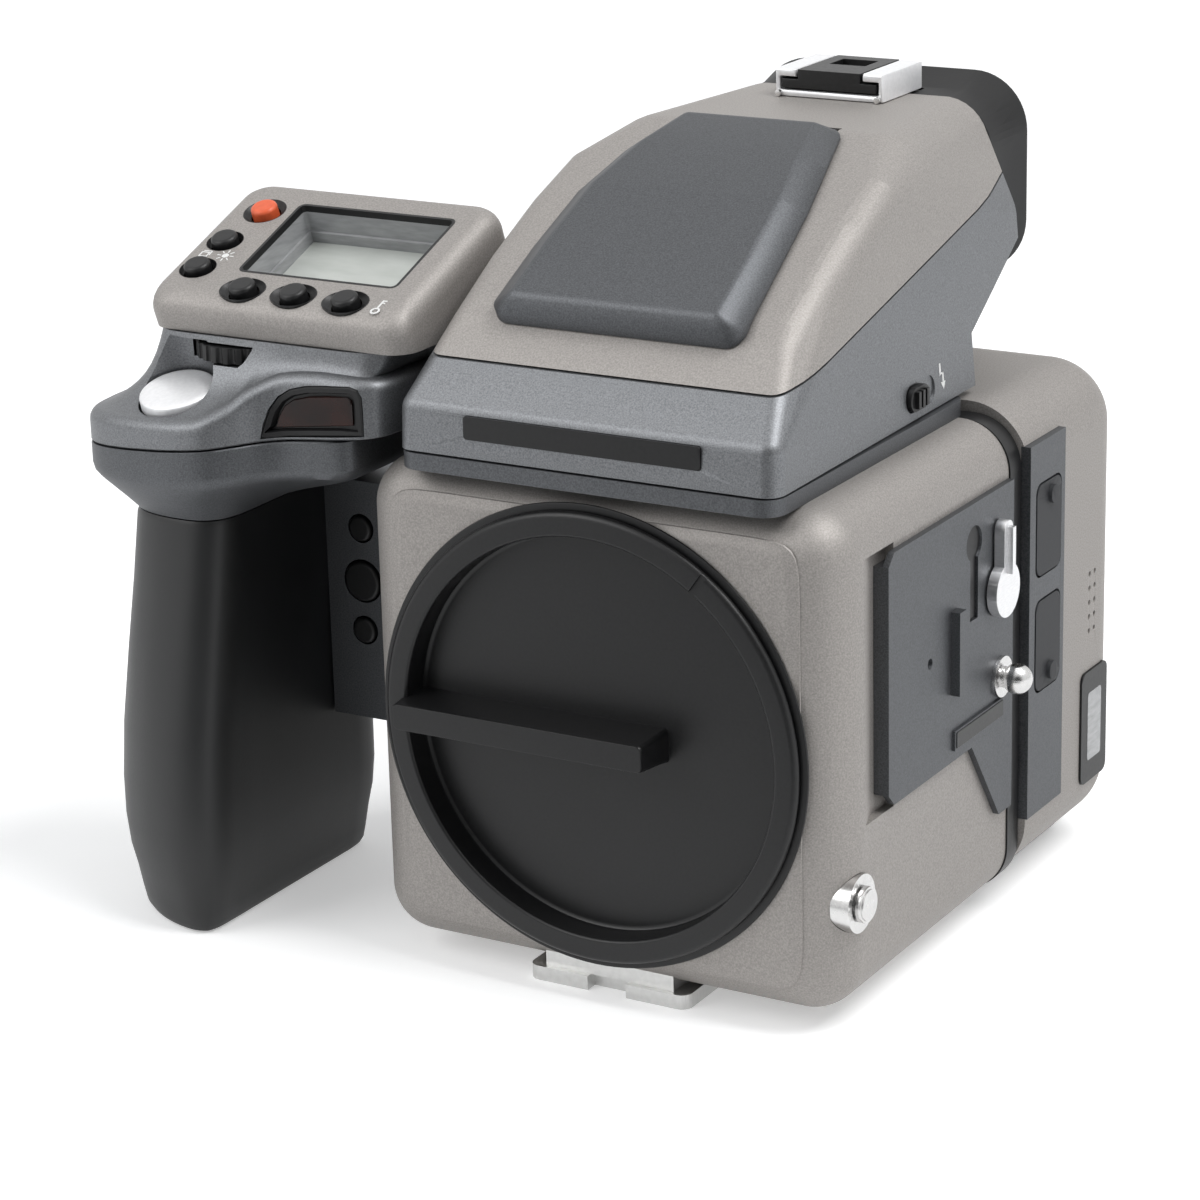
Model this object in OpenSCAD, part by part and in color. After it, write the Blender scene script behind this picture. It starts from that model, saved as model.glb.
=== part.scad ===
// Medium format digital reflex camera: body with finder, hand grip, sensor unit and body cap.
// +X is the release-lever side, -Y is the lens side, +Z is up.
// The origin is the mouth of the tripod thread, on the plane that the camera stands on.

/* [Body] */
// Width of the body casting
body_w = 87; // [84:0.5:92]
// Depth of the body casting, front face to rear joint
body_d = 63; // [60:0.5:70]
// Height of the body casting
body_h = 83.3; // [80:0.1:88]
// Height of the body casting above the table
body_lift = 3.2; // [3:0.1:5]
// Distance from the tripod thread to the front face
front_d = 33.5; // [32:0.5:36]
// Rounding of the edges of the body casting
body_r = 8.5; // [6:0.5:10]
// Wall of the body casting
body_wall = 4; // [3.5:0.5:5]
// Thickness of the front wall that carries the lens mount
front_wall = 8; // [7:0.5:10]
// Side of the square raised panel on the front face
panel_w = 70; // [66:1:76]
// Height of the raised panel above the front face
panel_t = 0.5; // [0.3:0.1:1]

/* [Lens mount and cap] */
// Height of the lens axis above the table
lens_z = 45.5; // [44:0.5:47]
// Outer radius of the lens mount ring
ring_r = 39; // [38:0.5:40]
// Radius of the bayonet bore
throat_r = 31.5; // [29:0.5:33]
// Radius of the recess in front of the bayonet face
recess_r = 35.4; // [34.8:0.1:36]
// How far the mount ring stands in front of the panel
ring_proud = 0.6; // [0.4:0.1:1.5]
// Depth of the bayonet face behind the ring's front
mount_depth = 4.2; // [4:0.1:6]
// Outer radius of the body cap
cap_r = 37.8; // [36.5:0.1:38.5]
// Width of the cap's flat rim
cap_rim = 4.1; // [3.5:0.1:5]
// Thickness of the cap's rim
cap_rim_t = 1.3; // [1:0.1:2]
// Depth of the dish inside the rim
cap_dish = 3.6; // [2.5:0.1:3.7]
// Height of the cap's finger bar
bar_h = 5; // [4:0.5:7]
// Reach of the finger bar past the lens axis
bar_reach = 14.5; // [5:0.5:18]

/* [Mirror] */
// Length of the reflex mirror
mirror_l = 36; // [30:1:37]
// Width of the reflex mirror
mirror_w = 40; // [34:1:44]
// Radius of the mirror's pivot pin
pivot_r = 1.5; // [1:0.1:2]

/* [Foot plate] */
// Width of the quick-coupling flange
foot_w = 30; // [26:1:36]
// Length of the quick-coupling flange
foot_l = 58; // [50:1:62]
// Thickness of the quick-coupling flange
foot_t = 2.5; // [2:0.1:2.8]
// How far the flange stands out past its neck
foot_lip = 3; // [2:0.5:4]
// Radius of the tripod thread
thread_r = 4.76; // [3.1:0.01:4.9]

/* [Side plate] */
// Thickness of the side plate
plate_t = 1.1; // [0.8:0.1:1.6]
// Length of the side plate
plate_l = 47; // [44:1:48]
// Height of the side plate
plate_h = 41.8; // [38:0.1:44]
// Radius of the lock lever's disc
lever_r = 4.6; // [4:0.1:5.2]
// Thickness of the lock lever
lever_t = 1.8; // [1.2:0.1:2.5]
// Radius of the strap stud
lug_r = 2.6; // [2:0.1:3]
// Radius of the sync socket's ring
sync_r = 4.8; // [4.2:0.1:5.2]

/* [Finder] */
// Width of the finder at its base
finder_w = 68.6; // [65:0.2:70]
// Height of the finder's base frame
base_t = 2.8; // [2.4:0.1:3.4]
// Width of the finder at its roof
roof_w = 60; // [57:0.5:62]
// Height of the roof above the body's top
roof_h = 46.9; // [45:0.1:49]
// Wall of the finder shells
finder_wall = 2.6; // [2.2:0.1:3.2]
// Width of the flash lid at its front edge
lid_w = 45; // [42:0.5:46]
// Thickness of the flash lid
lid_t = 3.4; // [3:0.1:3.8]
// Width of the accessory shoe's slot
shoe_w = 18.6; // [18.4:0.1:18.8]
// Length of the accessory shoe
shoe_l = 15.6; // [15:0.1:16.5]
// Radius of the eyepiece
eye_r = 11; // [9:0.5:12]
// Width of the rubber eyecup
cup_w = 52; // [48:1:55]

/* [Grip] */
// Left end of the grip, from the lens axis
grip_x = 98.5; // [97:0.5:101]
// Inner side of the grip, from the lens axis
grip_in = 69; // [68:0.5:71]
// Depth of the grip at its widest
grip_d = 56; // [52:1:60]
// Height of the rubber grip
grip_h = 73; // [71:0.5:75]
// Height of the collar above the rubber, up to the seam's left end
collar_h = 11.5; // [10.5:0.5:13]
// Height of the top shell, from that seam to the display housing
shell_h = 18.7; // [17.5:0.1:20.5]
// Wall of the rubber grip
grip_wall = 3; // [2.5:0.5:4]
// Front of the button panel, behind the front face
bridge_set = 27.5; // [25:0.5:30]
// Radius of the shutter release
shutter_r = 6.6; // [5.5:0.1:7]
// Radius of the front control wheel
wheel_r = 9; // [8:0.5:10]

/* [Display housing] */
// Width of the display housing
lcd_w = 50.8; // [49:0.2:52]
// Length of the display housing along its slope
lcd_l = 37; // [36:0.5:39]
// Tilt of the display housing, degrees
lcd_tilt = 21; // [18:0.5:24]
// Width of the display window
window_w = 31; // [28:0.5:32]
// Length of the display window
window_l = 20.6; // [18:0.1:21.5]
// Depth of the display below the housing's top
window_d = 6; // [4:0.5:7]
// Radius of the small keys
key_r = 2.3; // [1.8:0.1:2.6]
// Travel of every key
key_travel = 0.8; // [0.5:0.1:1]

/* [Sensor unit] */
// Width of the sensor unit
unit_w = 90; // [87:0.5:92]
// Depth of the sensor unit
unit_d = 42; // [38:0.5:46]
// How far the sensor unit's top stands above the body
unit_rise = 1.8; // [1:0.1:2.2]
// Rounding of the sensor unit's edges
unit_r = 11; // [9:0.5:12]
// Wall of the sensor unit's shell
unit_wall = 3; // [2.5:0.5:4]
// Thickness of the black frame between body and sensor unit
frame_t = 4.3; // [3:0.1:5]
// Width of the rear display
screen_w = 56; // [48:1:60]
// Height of the rear display
screen_h = 42; // [36:1:46]
// Radius of the rear keys
rear_key_r = 3.4; // [2.8:0.1:3.8]

/* [Hidden] */
$fn = 48;

taupe = "#8f8a83";
pewter = "#4a4d50";
black = "#1c1d1f";
chrome = "#d8d9da";

// Clearance between pieces that move against each other
run_gap = 0.3;
// Clearance of a pin in its bore
pin_gap = 0.05;
// Clearance between two shells at a seam
seam_gap = 0.3;
eps = 0.01;

front_y = -front_d;
rear_y = front_y + body_d;
side_x = body_w / 2;
top_z = body_lift + body_h;
mid_z = body_lift + body_h / 2;

panel_y = front_y - panel_t;
ring_front = panel_y - ring_proud;
face_y = ring_front + mount_depth;
barrel_r = recess_r + 1.5;
barrel_rear = front_y + front_wall;
cap_back = ring_front - run_gap;
cap_front = cap_back - cap_rim_t;
disc_front = cap_front + cap_dish;
disc_back = face_y - run_gap - 0.1;

mirror_y = front_y + 41.5;
mirror_z = lens_z + 14.5;
mirror_t = 2;
box_half = mirror_w / 2 + 7;
box_wall = 2;
box_floor = body_lift + body_wall;
screen_y = front_y + 33;
screen_half = 26;
ledge = 2;
screen_t = 1.8;

neck_top = body_lift + 3;
foot_front = front_y + 2.1;

plate_x = side_x + plate_t;
plate_rear = rear_y - 0.3;
plate_top = lens_z + 31.8;
plate_low = plate_top - plate_h;
plate_front = plate_rear - plate_l;
groove_d = 1.6;
groove_l = 6;
lever_y = plate_rear - 6.6;
lever_z = lens_z + 14.8;
lever_reach = 12;
stud_r = 1.5;
lug_z = lens_z - 0.9;
lug_y = plate_rear - 5.2;
sync_y = front_y + 7;
sync_z = lens_z - 23;
sync_seat = side_x - 2.6;
sync_t = 3.2;
sync_cap_r = sync_r * 0.62;

base_z = top_z + base_t;
shell_z = base_z + seam_gap;
finder_front = front_y - 2.1;
base_rear = rear_y + frame_t - seam_gap;
finder_z = top_z + 4;
roof_z = top_z + roof_h;
brow_y = finder_front + 6.6;
brow_z = finder_z + 13.5;
brow_w = roof_w + 3.2;
roof_r = 10;
brow_r = 4;
foot_r = 3;
roof_front_y = finder_front + 15.4;
roof_front_z = finder_z + 16.4;
roof_back_y = finder_front + 64.1;
roof_back_z = roof_z - roof_r;
roof_run = norm([roof_back_y - roof_front_y, roof_back_z - roof_front_z]);
roof_slope = atan2(roof_back_z - roof_front_z, roof_back_y - roof_front_y)
           + asin((roof_r - brow_r) / roof_run);
hinge_y = roof_back_y - roof_r * sin(roof_slope);
hinge_z = roof_back_z + roof_r * cos(roof_slope);
crown_r = 5;
// Steps of the arched roof: place down the slope, rise above it, and how far its edge is drawn in
crown_steps = [[-12, 1.8, 0.8], [-24, 2.4, 0.4], [-38, 1.8, 0], [-47, 0.9, 0]];
lid_l = roof_run + 2.2;
lid_rear = 1.5;
lid_rear_w = lid_w - 13;
// Steps of the lid that follow the arched roof: place down the slope, half width and rise
lid_steps = [[3 - lid_l, lid_w / 2, 0.9], [-38, lid_w / 2 - 0.5, 1.8], [-24, lid_w / 2 - 1.6, 2.4],
             [-12, lid_w / 2 - 3.9, 1.8], [lid_rear - 3, lid_rear_w / 2, 0.1]];
lid_pin_r = 0.9;
lid_pin_v = 3;
lid_pin_z = -1.9;
lug_u = 12;
lug_w = 2.6;
pocket_w = 27;
pocket_l = 15;
seam_slope = 11;
cover_y = finder_front + 6.2;
cover_z = finder_z + 13.2;
heel_y = finder_front + 74.6;
tail_y = finder_front + 96.6;
tail_r = 7.9;
heel_z = finder_z + 8;
heel_slope = 27.7585;
tail_low = heel_z + (tail_y - heel_y) * tan(heel_slope);
shoe_y = tail_y - 10.5;
shoe_wall = 0.9;
shoe_base_t = 1.2;
shoe_slot = 2.2;
shoe_lip = 1.4;
shoe_gap = 12.5;
eye_z = finder_z + 28;
cup_top = roof_z + 2.2;
cup_low = finder_z + 9.6;
cup_neck = tail_y + 7;
cup_rear = tail_y + 15;
cup_r = 10;
lens_t = 4;
switch_y = finder_front + 52.9;
switch_z = finder_z + 2.8;
switch_l = 6.8;
switch_h = 4;
switch_travel = 4;
switch_pocket = 1.6;
knob_x = finder_w / 2 - 10.3;
knob_r = 4.6;
knob_h = 3.6;
knob_stem_r = 1.6;

grip_front = front_y - 11.3;
grip_back = grip_front + grip_d;
seam_z = grip_h + collar_h;
deck_z = seam_z + shell_h;
swell_z = 18;
waist_z = 34;
bay_x = 11.5;
bay_y = 13;
bay_w = grip_x - grip_in - 14.5;
seam_x = -grip_x + 6.5;
seam_tilt = 5.7;
shell_in = 37;
bridge_y = front_y + bridge_set;
bridge_d = 14;
bridge_low = 30;
panel_key_x = -(grip_in + side_x) / 2 - 5.5;
panel_keys_z = [grip_h - 8.5, grip_h - 18, grip_h - 26.9];
release_r = 3.6;
panel_key_r = 2.3;
deck_front = front_y + 2.5;
nose_y = front_y - 1;
nose_r = 6;
shutter_tilt = 17;
shutter_x = -grip_x + 20.8;
shutter_y = front_y - 1;
shutter_z = seam_z + 10.4;
wheel_x = -(grip_in + 1);
wheel_y = deck_front + wheel_r - 1.6;
wheel_z = deck_z - 4.2;
wheel_t = 2.6;
axle_r = 1.5;
af_x = -51;
af_w = 18;
af_h = 9.4;
af_y = front_y - 0.4;
af_z = seam_z + 9.6;
af_t = 1;

lcd_far = 3;
lcd_x = -35.2 - lcd_w / 2;
lcd_y = front_y + 32.8;
lcd_z = deck_z + 17.9;
back_wheel_y = lcd_y - 3.6;
back_wheel_x = -(side_x + 16);
lcd_r = 4;
lcd_deep = 26;
window_u = 4;
window_v = -13.8;
panel_thick = 1;

unit_y = rear_y + frame_t + seam_gap;
unit_rear = unit_y + unit_d;
unit_low = body_lift + 0.8;
unit_h = top_z + unit_rise - unit_low;
unit_x = unit_w / 2;
gate_w = 50;
gate_h = 38;
port_y = unit_y + 7.6;
port_w = 10;
port_h = 16;
port_t = 1.2;
conn_t = 1.4;
conn_w = 13.4;
conn_low = lens_z - 30;
conn_top = lens_z + 36;
port_zs = [lens_z + 20.5, lens_z];
screen_mid = lens_z + 9;
pad_r = 6.5;
key_row = lens_z - 21.5;
foot_drop = 3.2;
rear_key_x = 20;

// Centred rectangle with round corners
module round_rect(w, h, r) {
    square([w - 2 * r, h], center = true);
    square([w, h - 2 * r], center = true);
    for (x = [-1, 1], y = [-1, 1]) translate([x * (w / 2 - r), y * (h / 2 - r)]) circle(r);
}

// Extrudes an outline drawn in x and z from y = start towards -Y
module toward_front(start, len) {
    translate([0, start, 0]) rotate([90, 0, 0]) linear_extrude(len) children();
}

// Extrudes an outline drawn in y and z from x = start towards +X
module toward_right(start, len) {
    translate([start, 0, 0]) rotate([90, 0, 90]) linear_extrude(len) children();
}

// Cylinder about the lens axis between two planes of y
module lens_cyl(r, y_near, y_far) {
    translate([0, y_far, lens_z]) rotate([90, 0, 0]) cylinder(r = r, h = y_far - y_near);
}

// Cylinder along +X
module cross_cyl(r, x, y, z, len) {
    translate([x, y, z]) rotate([0, 90, 0]) cylinder(r = r, h = len);
}

// Key with a rounded crown, standing on z = 0
module key_form(r, h, crown) {
    rotate_extrude() {
        square([r - crown, h]);
        square([r, h - crown]);
        intersection() {
            translate([r - crown, h - crown]) circle(crown);
            translate([0, h - crown]) square([r, crown]);
        }
    }
}

// Block from y = 0 back to y = d, standing on z = 0, with all edges round except the rear ones
module soft_box(w, d, h, r) {
    half = w / 2 - r;
    translate([-half, 0, r]) cube([2 * half, d, h - 2 * r]);
    translate([-half - r, r, r]) cube([w, d - r, h - 2 * r]);
    translate([-half, r, 0]) cube([2 * half, d - r, h]);
    for (x = [-half, half]) translate([x, r, r]) cylinder(r = r, h = h - 2 * r);
    for (z = [r, h - r]) {
        cross_cyl(r, -half, r, z, 2 * half);
        for (x = [-half, half]) {
            translate([x, d, z]) rotate([90, 0, 0]) cylinder(r = r, h = d - r);
            translate([x, r, z]) sphere(r);
        }
    }
}

module body_shell() {
    color(taupe) difference() {
        union() {
            translate([0, front_y, body_lift]) soft_box(body_w, body_d, body_h, body_r);
            translate([0, 0, lens_z]) toward_front(front_y + 1, 1 + panel_t) round_rect(panel_w, panel_w, 6);
        }
        translate([-side_x + body_wall, barrel_rear, box_floor])
            cube([body_w - 2 * body_wall, body_d, body_h - 2 * body_wall]);
        lens_cyl(barrel_r + pin_gap, panel_y - 1, barrel_rear + 1);
        translate([-screen_half, screen_y - screen_half + 5, top_z - body_wall - 1])
            cube([2 * screen_half, 2 * screen_half - 10, body_wall + 2]);
        translate([-screen_half - ledge, screen_y - screen_half + 5 - ledge, top_z - screen_t - 0.2])
            cube([2 * (screen_half + ledge), 2 * (screen_half + ledge) - 10, screen_t + 1]);
        foot_neck(body_lift - 1);
        cross_cyl(sync_r + pin_gap, sync_seat, sync_y, sync_z, 5);
        cross_cyl(stud_r + pin_gap, side_x - body_wall - 1, lever_y, lever_z, body_wall + 2);
        translate([0, 0, plate_low - 1]) linear_extrude(plate_h + 2)
            polygon([[side_x, plate_front - groove_l], [side_x - groove_d, plate_front - 1.2],
                     [side_x - groove_d, plate_front + 4], [side_x + 2, plate_front + 4],
                     [side_x + 2, plate_front - groove_l]]);
    }
}

module lens_mount_ring() {
    color(black) difference() {
        union() {
            lens_cyl(ring_r, ring_front, panel_y);
            lens_cyl(barrel_r, panel_y - eps, barrel_rear);
        }
        lens_cyl(recess_r, ring_front - 1, face_y);
        lens_cyl(throat_r, ring_front - 1, barrel_rear + 1);
    }
}

module body_cap() {
    inner_r = cap_r - cap_rim;
    color(black) difference() {
        union() {
            lens_cyl(cap_r, cap_front, cap_back);
            lens_cyl(recess_r - run_gap, cap_back - eps, disc_back);
        }
        difference() {
            lens_cyl(inner_r, cap_front - 1, disc_front);
            translate([-inner_r - 1, cap_front, lens_z - bar_h + 0.5])
                cube([inner_r + 1 + bar_reach, cap_dish + 1, bar_h]);
        }
        translate([0, cap_front - eps, lens_z]) rotate([0, -54, 0])
            translate([inner_r + 0.4, 0, -0.5]) cube([cap_rim - 1.2, 0.4, 1]);
    }
}

module mirror_box() {
    color(black) difference() {
        translate([-box_half, barrel_rear, box_floor])
            cube([2 * box_half, rear_y - barrel_rear - 3, mirror_z + 12 - box_floor]);
        translate([-box_half + box_wall, barrel_rear - 1, box_floor + box_wall])
            cube([2 * (box_half - box_wall), body_d, body_h]);
        cross_cyl(pivot_r + pin_gap, -box_half - 1, mirror_y, mirror_z, 2 * box_half + 2);
    }
}

module reflex_mirror() {
    color("#b8c4cc") union() {
        cross_cyl(pivot_r, -box_half + 0.2, mirror_y, mirror_z, 2 * box_half - 0.4);
        translate([0, mirror_y, mirror_z]) rotate([45, 0, 0])
            translate([-mirror_w / 2, -mirror_l, -mirror_t / 2]) cube([mirror_w, mirror_l, mirror_t]);
    }
}

module focusing_screen() {
    color("#dfe6e8") translate([-screen_half - ledge + pin_gap, screen_y - screen_half + 5 - ledge + pin_gap,
                                top_z - screen_t - 0.2])
        cube([2 * (screen_half + ledge - pin_gap), 2 * (screen_half + ledge - pin_gap) - 10, screen_t]);
}

module interface_frame() {
    color(black) difference() {
        translate([0, 0, mid_z]) toward_front(rear_y + frame_t, frame_t)
            round_rect(body_w + 0.6, body_h, body_r);
        translate([0, 0, lens_z + 1]) toward_front(rear_y + frame_t + 1, frame_t + 2) round_rect(60, 50, 3);
    }
}

module plate_outline() {
    polygon([[plate_front + 2, plate_low], [plate_rear - 16, plate_low], [plate_rear - 5, plate_low - 15.6],
             [plate_rear, plate_low - 15.6], [plate_rear, plate_top], [plate_front + 2, plate_top],
             [plate_front, plate_top - 2], [plate_front, plate_low + 2]]);
}

module side_plate() {
    rib_y = plate_rear - 23;
    slot_y = plate_rear - 15.5;
    color(pewter) difference() {
        union() {
            toward_right(side_x, plate_t) plate_outline();
            translate([side_x - groove_d + pin_gap, plate_front, plate_low + 2])
                cube([groove_d + plate_t / 2, 3.9, plate_h - 4]);
            translate([side_x, rib_y - 1.2, lens_z + 1.7]) cube([plate_t + 1.6, 2.4, 14.2]);
            translate([side_x, plate_rear - 23.5, lug_z - 7.2]) cube([plate_t + 0.5, 19, 3.4]);
        }
        cross_cyl(3, plate_x - 0.6, slot_y, lens_z + 25, 3);
        translate([plate_x - 0.6, slot_y - 1.5, lens_z + 12]) cube([3, 3, 13]);
        cross_cyl(0.9, plate_x - 0.7, plate_front + 15, lens_z + 9.5, 3);
        cross_cyl(stud_r + pin_gap, side_x - 1, lever_y, lever_z, plate_t + 4);
    }
}

module lock_lever() {
    color(chrome) union() {
        cross_cyl(stud_r, side_x - body_wall + 0.2, lever_y, lever_z, body_wall + plate_t + run_gap + 0.2);
        cross_cyl(lever_r, plate_x + run_gap, lever_y, lever_z, lever_t);
        translate([plate_x + run_gap, lever_y - 1.7, lever_z]) cube([lever_t, 3.4, lever_reach - 1.7]);
        cross_cyl(1.7, plate_x + run_gap, lever_y, lever_z + lever_reach - 1.7, lever_t);
        translate([plate_x + run_gap, lever_y - 0.6, lever_z + 3]) cube([lever_t + 1, 1.2, lever_reach - 4]);
    }
}

module strap_lug() {
    color(chrome) difference() {
        union() {
            cross_cyl(lug_r + 0.9, plate_x, lug_y, lug_z, 0.8);
            cross_cyl(lug_r * 0.7, plate_x, lug_y, lug_z, lug_r);
            translate([plate_x + lug_r + 0.6, lug_y, lug_z]) sphere(lug_r);
        }
        translate([plate_x + lug_r + 0.6, lug_y, lug_z - lug_r - 1]) cylinder(r = 1, h = 2 * lug_r + 2);
    }
}

module sync_socket() {
    color(chrome) difference() {
        cross_cyl(sync_r, sync_seat, sync_y, sync_z, sync_t);
        cross_cyl(sync_cap_r - 0.4, sync_seat + 0.6, sync_y, sync_z, sync_t);
    }
}

module sync_cap() {
    color(chrome) union() {
        cross_cyl(sync_cap_r - 0.4 - run_gap, sync_seat + 1, sync_y, sync_z, sync_t);
        cross_cyl(sync_cap_r, sync_seat + sync_t + run_gap, sync_y, sync_z, 0.9);
        cross_cyl(sync_cap_r - 0.4, sync_seat + sync_t + run_gap + 0.9 - eps, sync_y, sync_z, 0.3);
    }
}

// Neck of the foot plate, from the flange up into the body's pocket
module foot_neck(low) {
    translate([-foot_w / 2 + foot_lip, foot_front + 1, low])
        cube([foot_w - 2 * foot_lip, foot_l - 3, neck_top - low]);
}

module foot_plate() {
    color("#c9cacb") difference() {
        union() {
            translate([0, foot_front + foot_l / 2, 0]) linear_extrude(foot_t) round_rect(foot_w, foot_l, 2);
            foot_neck(foot_t - eps);
        }
        translate([0, 0, -1]) cylinder(r = thread_r, h = neck_top + 2);
        translate([-3.6, foot_front - 1, -1]) cube([7.2, 3.4, foot_t + 1 + eps]);
    }
}

module finder_base() {
    color(pewter) translate([0, 0, top_z]) difference() {
        translate([0, (finder_front + base_rear) / 2, 0]) linear_extrude(base_t)
            round_rect(finder_w, base_rear - finder_front, foot_r + 1);
        translate([-21, screen_y - 20, -1]) cube([42, 40, base_t + 2]);
    }
}

// Outer form of the finder, or its inner space when the shells are thinned by inset
module finder_form(inset) {
    half = finder_w / 2 - foot_r;
    roof_half = roof_w / 2 - roof_r;
    brow_half = brow_w / 2 - brow_r;
    hull() for (s = [-1, 1]) {
        translate([s * half, finder_front + foot_r, finder_z - 5]) sphere(foot_r - inset, $fn = 32);
        translate([s * half, finder_front + foot_r + 0.8, finder_z + 5.4]) sphere(foot_r - inset, $fn = 32);
        translate([s * brow_half, brow_y + brow_r, brow_z - brow_r]) sphere(brow_r - inset, $fn = 32);
        translate([s * brow_half, roof_front_y, roof_front_z]) sphere(brow_r - inset, $fn = 32);
        for (e = crown_steps) on_roof()
            translate([s * (brow_w / 2 - crown_r - e[2]), e[0], e[1] - crown_r])
                sphere(crown_r - inset, $fn = 32);
        translate([s * roof_half, roof_back_y, roof_back_z]) sphere(roof_r - inset, $fn = 32);
        translate([s * (roof_half - 3.7), tail_y + 6, roof_z - tail_r]) sphere(tail_r - inset, $fn = 32);
        translate([s * (half - 5), tail_y + 6, eye_z - 6]) sphere(foot_r + 1 - inset, $fn = 32);
        translate([s * (half - 2), tail_y + 16, finder_z - 5]) sphere(foot_r - inset, $fn = 32);
    }
}

// Space behind the finder's heel and tail
module behind_finder(shift) {
    translate([0, shift, 0]) toward_right(-100, 200)
        polygon([[heel_y, finder_z - 20], [heel_y, heel_z], [tail_y, tail_low], [tail_y, roof_z + 20],
                 [tail_y + 100, roof_z + 20], [tail_y + 100, finder_z - 20]]);
}

// Inner space of the finder
module finder_space() {
    difference() {
        finder_form(finder_wall);
        behind_finder(-finder_wall);
    }
}

// Space above the sloping seam between the finder's housing and its cover
module above_seam(shift) {
    translate([0, cover_y, cover_z + shift]) rotate([seam_slope, 0, 0])
        translate([-100, -100, 0]) cube([200, 300, 100]);
}

// Space below that seam
module below_seam() {
    translate([0, cover_y, cover_z]) rotate([seam_slope, 0, 0])
        translate([-100, -100, -100]) cube([200, 300, 100]);
}

module eye_hole(r, start, len) {
    translate([0, start, eye_z]) rotate([-90, 0, 0]) cylinder(r = r, h = len);
}

module finder_housing() {
    color(pewter) difference() {
        finder_form(0);
        finder_space();
        above_seam(-seam_gap);
        behind_finder(0);
        translate([-100, -150, shell_z - 100]) cube([200, 300, 100]);
        eye_hole(eye_r, tail_y - 10, 60);
        switch_slot(switch_l + switch_travel + 2 * run_gap, switch_h + 2 * run_gap);
        front_nameplate_form(pin_gap);
        on_heel() translate([0, 0, -8]) cylinder(r = knob_stem_r + pin_gap, h = 10);
    }
}

module finder_cover() {
    color(taupe) difference() {
        finder_form(0);
        finder_space();
        below_seam();
        behind_finder(0);
        eye_hole(eye_r, tail_y - 10, 60);
        on_roof() translate([-pocket_w / 2, -lid_l + 5, -20]) cube([pocket_w, pocket_l, 30]);
        on_roof() for (s = [-1, 1])
            translate([s * lug_u - lug_w / 2 - run_gap, -1.4, -4]) cube([lug_w + 2 * run_gap, 5.8, 8]);
        on_roof() cross_cyl(lid_pin_r + pin_gap, -lug_u - 5, lid_pin_v, lid_pin_z, 2 * lug_u + 10);
    }
}

// Local frame on the sloping roof: origin at its rear end, y runs up the slope, z is the roof's normal
module on_roof() {
    translate([0, hinge_y, hinge_z]) rotate([roof_slope, 0, 0]) children();
}

// Local frame on the slanted heel of the housing, at the dioptre knob: z points out of the face
module on_heel() {
    translate([knob_x, heel_y + 6, heel_z + 6 * tan(heel_slope)]) rotate([180 + heel_slope, 0, 0]) children();
}

module flash_lid() {
    edge = 2;
    color(pewter) union() {
        difference() {
            on_roof() hull() for (s = [-1, 1], e = lid_steps) {
                translate([s * (e[1] - 3), e[0], -1.5]) cylinder(r = 3, h = e[2] + 2.4, $fn = 32);
                translate([s * (e[1] - 4.6), e[0], run_gap + e[2] + lid_t - edge]) sphere(edge, $fn = 24);
            }
            finder_form(-run_gap);
        }
        on_roof() cross_cyl(lid_pin_r, -lug_u - 4.5, lid_pin_v, lid_pin_z, 2 * lug_u + 9);
        on_roof() for (s = [-1, 1]) translate([s * lug_u - lug_w / 2, -1, lid_pin_z - 0.9]) {
            cube([lug_w, lid_pin_v + 1, 1.8]);
            cube([lug_w, 2.2, run_gap + 1.3 - lid_pin_z]);
        }
    }
}

module flash_reflector() {
    color("#d9dde0") on_roof() difference() {
        translate([-pocket_w / 2 + 1.5, -lid_l + 7, -6]) cube([pocket_w - 3, 10, 6.9]);
        translate([-pocket_w / 2 + 3, -lid_l + 6, -5]) cube([pocket_w - 6, 7, 4]);
        cross_cyl(0.9, -pocket_w / 2, -lid_l + 14.4, -3, pocket_w);
    }
}

// Slot of the flash catch on the finder's right side
module switch_slot(l, h) {
    translate([finder_w / 2 - switch_pocket, switch_y, switch_z]) rotate([90, 0, 90]) linear_extrude(6)
        round_rect(l, h, h / 2 - eps);
}

module flash_switch() {
    start = switch_y - switch_travel / 2;
    base_x = finder_w / 2 - switch_pocket + run_gap;
    color(black) union() {
        translate([base_x, start, switch_z]) rotate([90, 0, 90]) linear_extrude(1.2)
            round_rect(switch_l, switch_h, switch_h / 2 - eps);
        for (i = [-1, 0, 1]) translate([base_x, start + i * 1.5 - 0.4, switch_z - 1.4]) cube([1.9, 0.8, 2.8]);
    }
}

module front_nameplate_form(grow) {
    translate([0, 0, finder_z + 4]) toward_front(finder_front + 2.2, 1.9)
        round_rect(42.6 + 2 * grow, 3.8 + 2 * grow, 0.6);
}

module front_nameplate() {
    color(black) front_nameplate_form(0);
}

module prism() {
    color("#cfe0e8") toward_right(-23, 46)
        polygon([[screen_y - 18, base_z], [screen_y + 18, base_z], [screen_y + 25, base_z + 8],
                 [screen_y + 22, base_z + 25], [screen_y + 6, base_z + 25], [screen_y - 18, base_z + 6]]);
}

module eyepiece_lens() {
    color("#c8d8e0") eye_hole(eye_r + 1 - pin_gap, cup_rear - 9.6, lens_t);
}

// Thin upright slice of the eyecup, from y towards the front
module cup_slice(y, t, w, low, high, r) {
    translate([0, 0, (low + high) / 2]) toward_front(y, t) round_rect(w, high - low, r);
}

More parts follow.
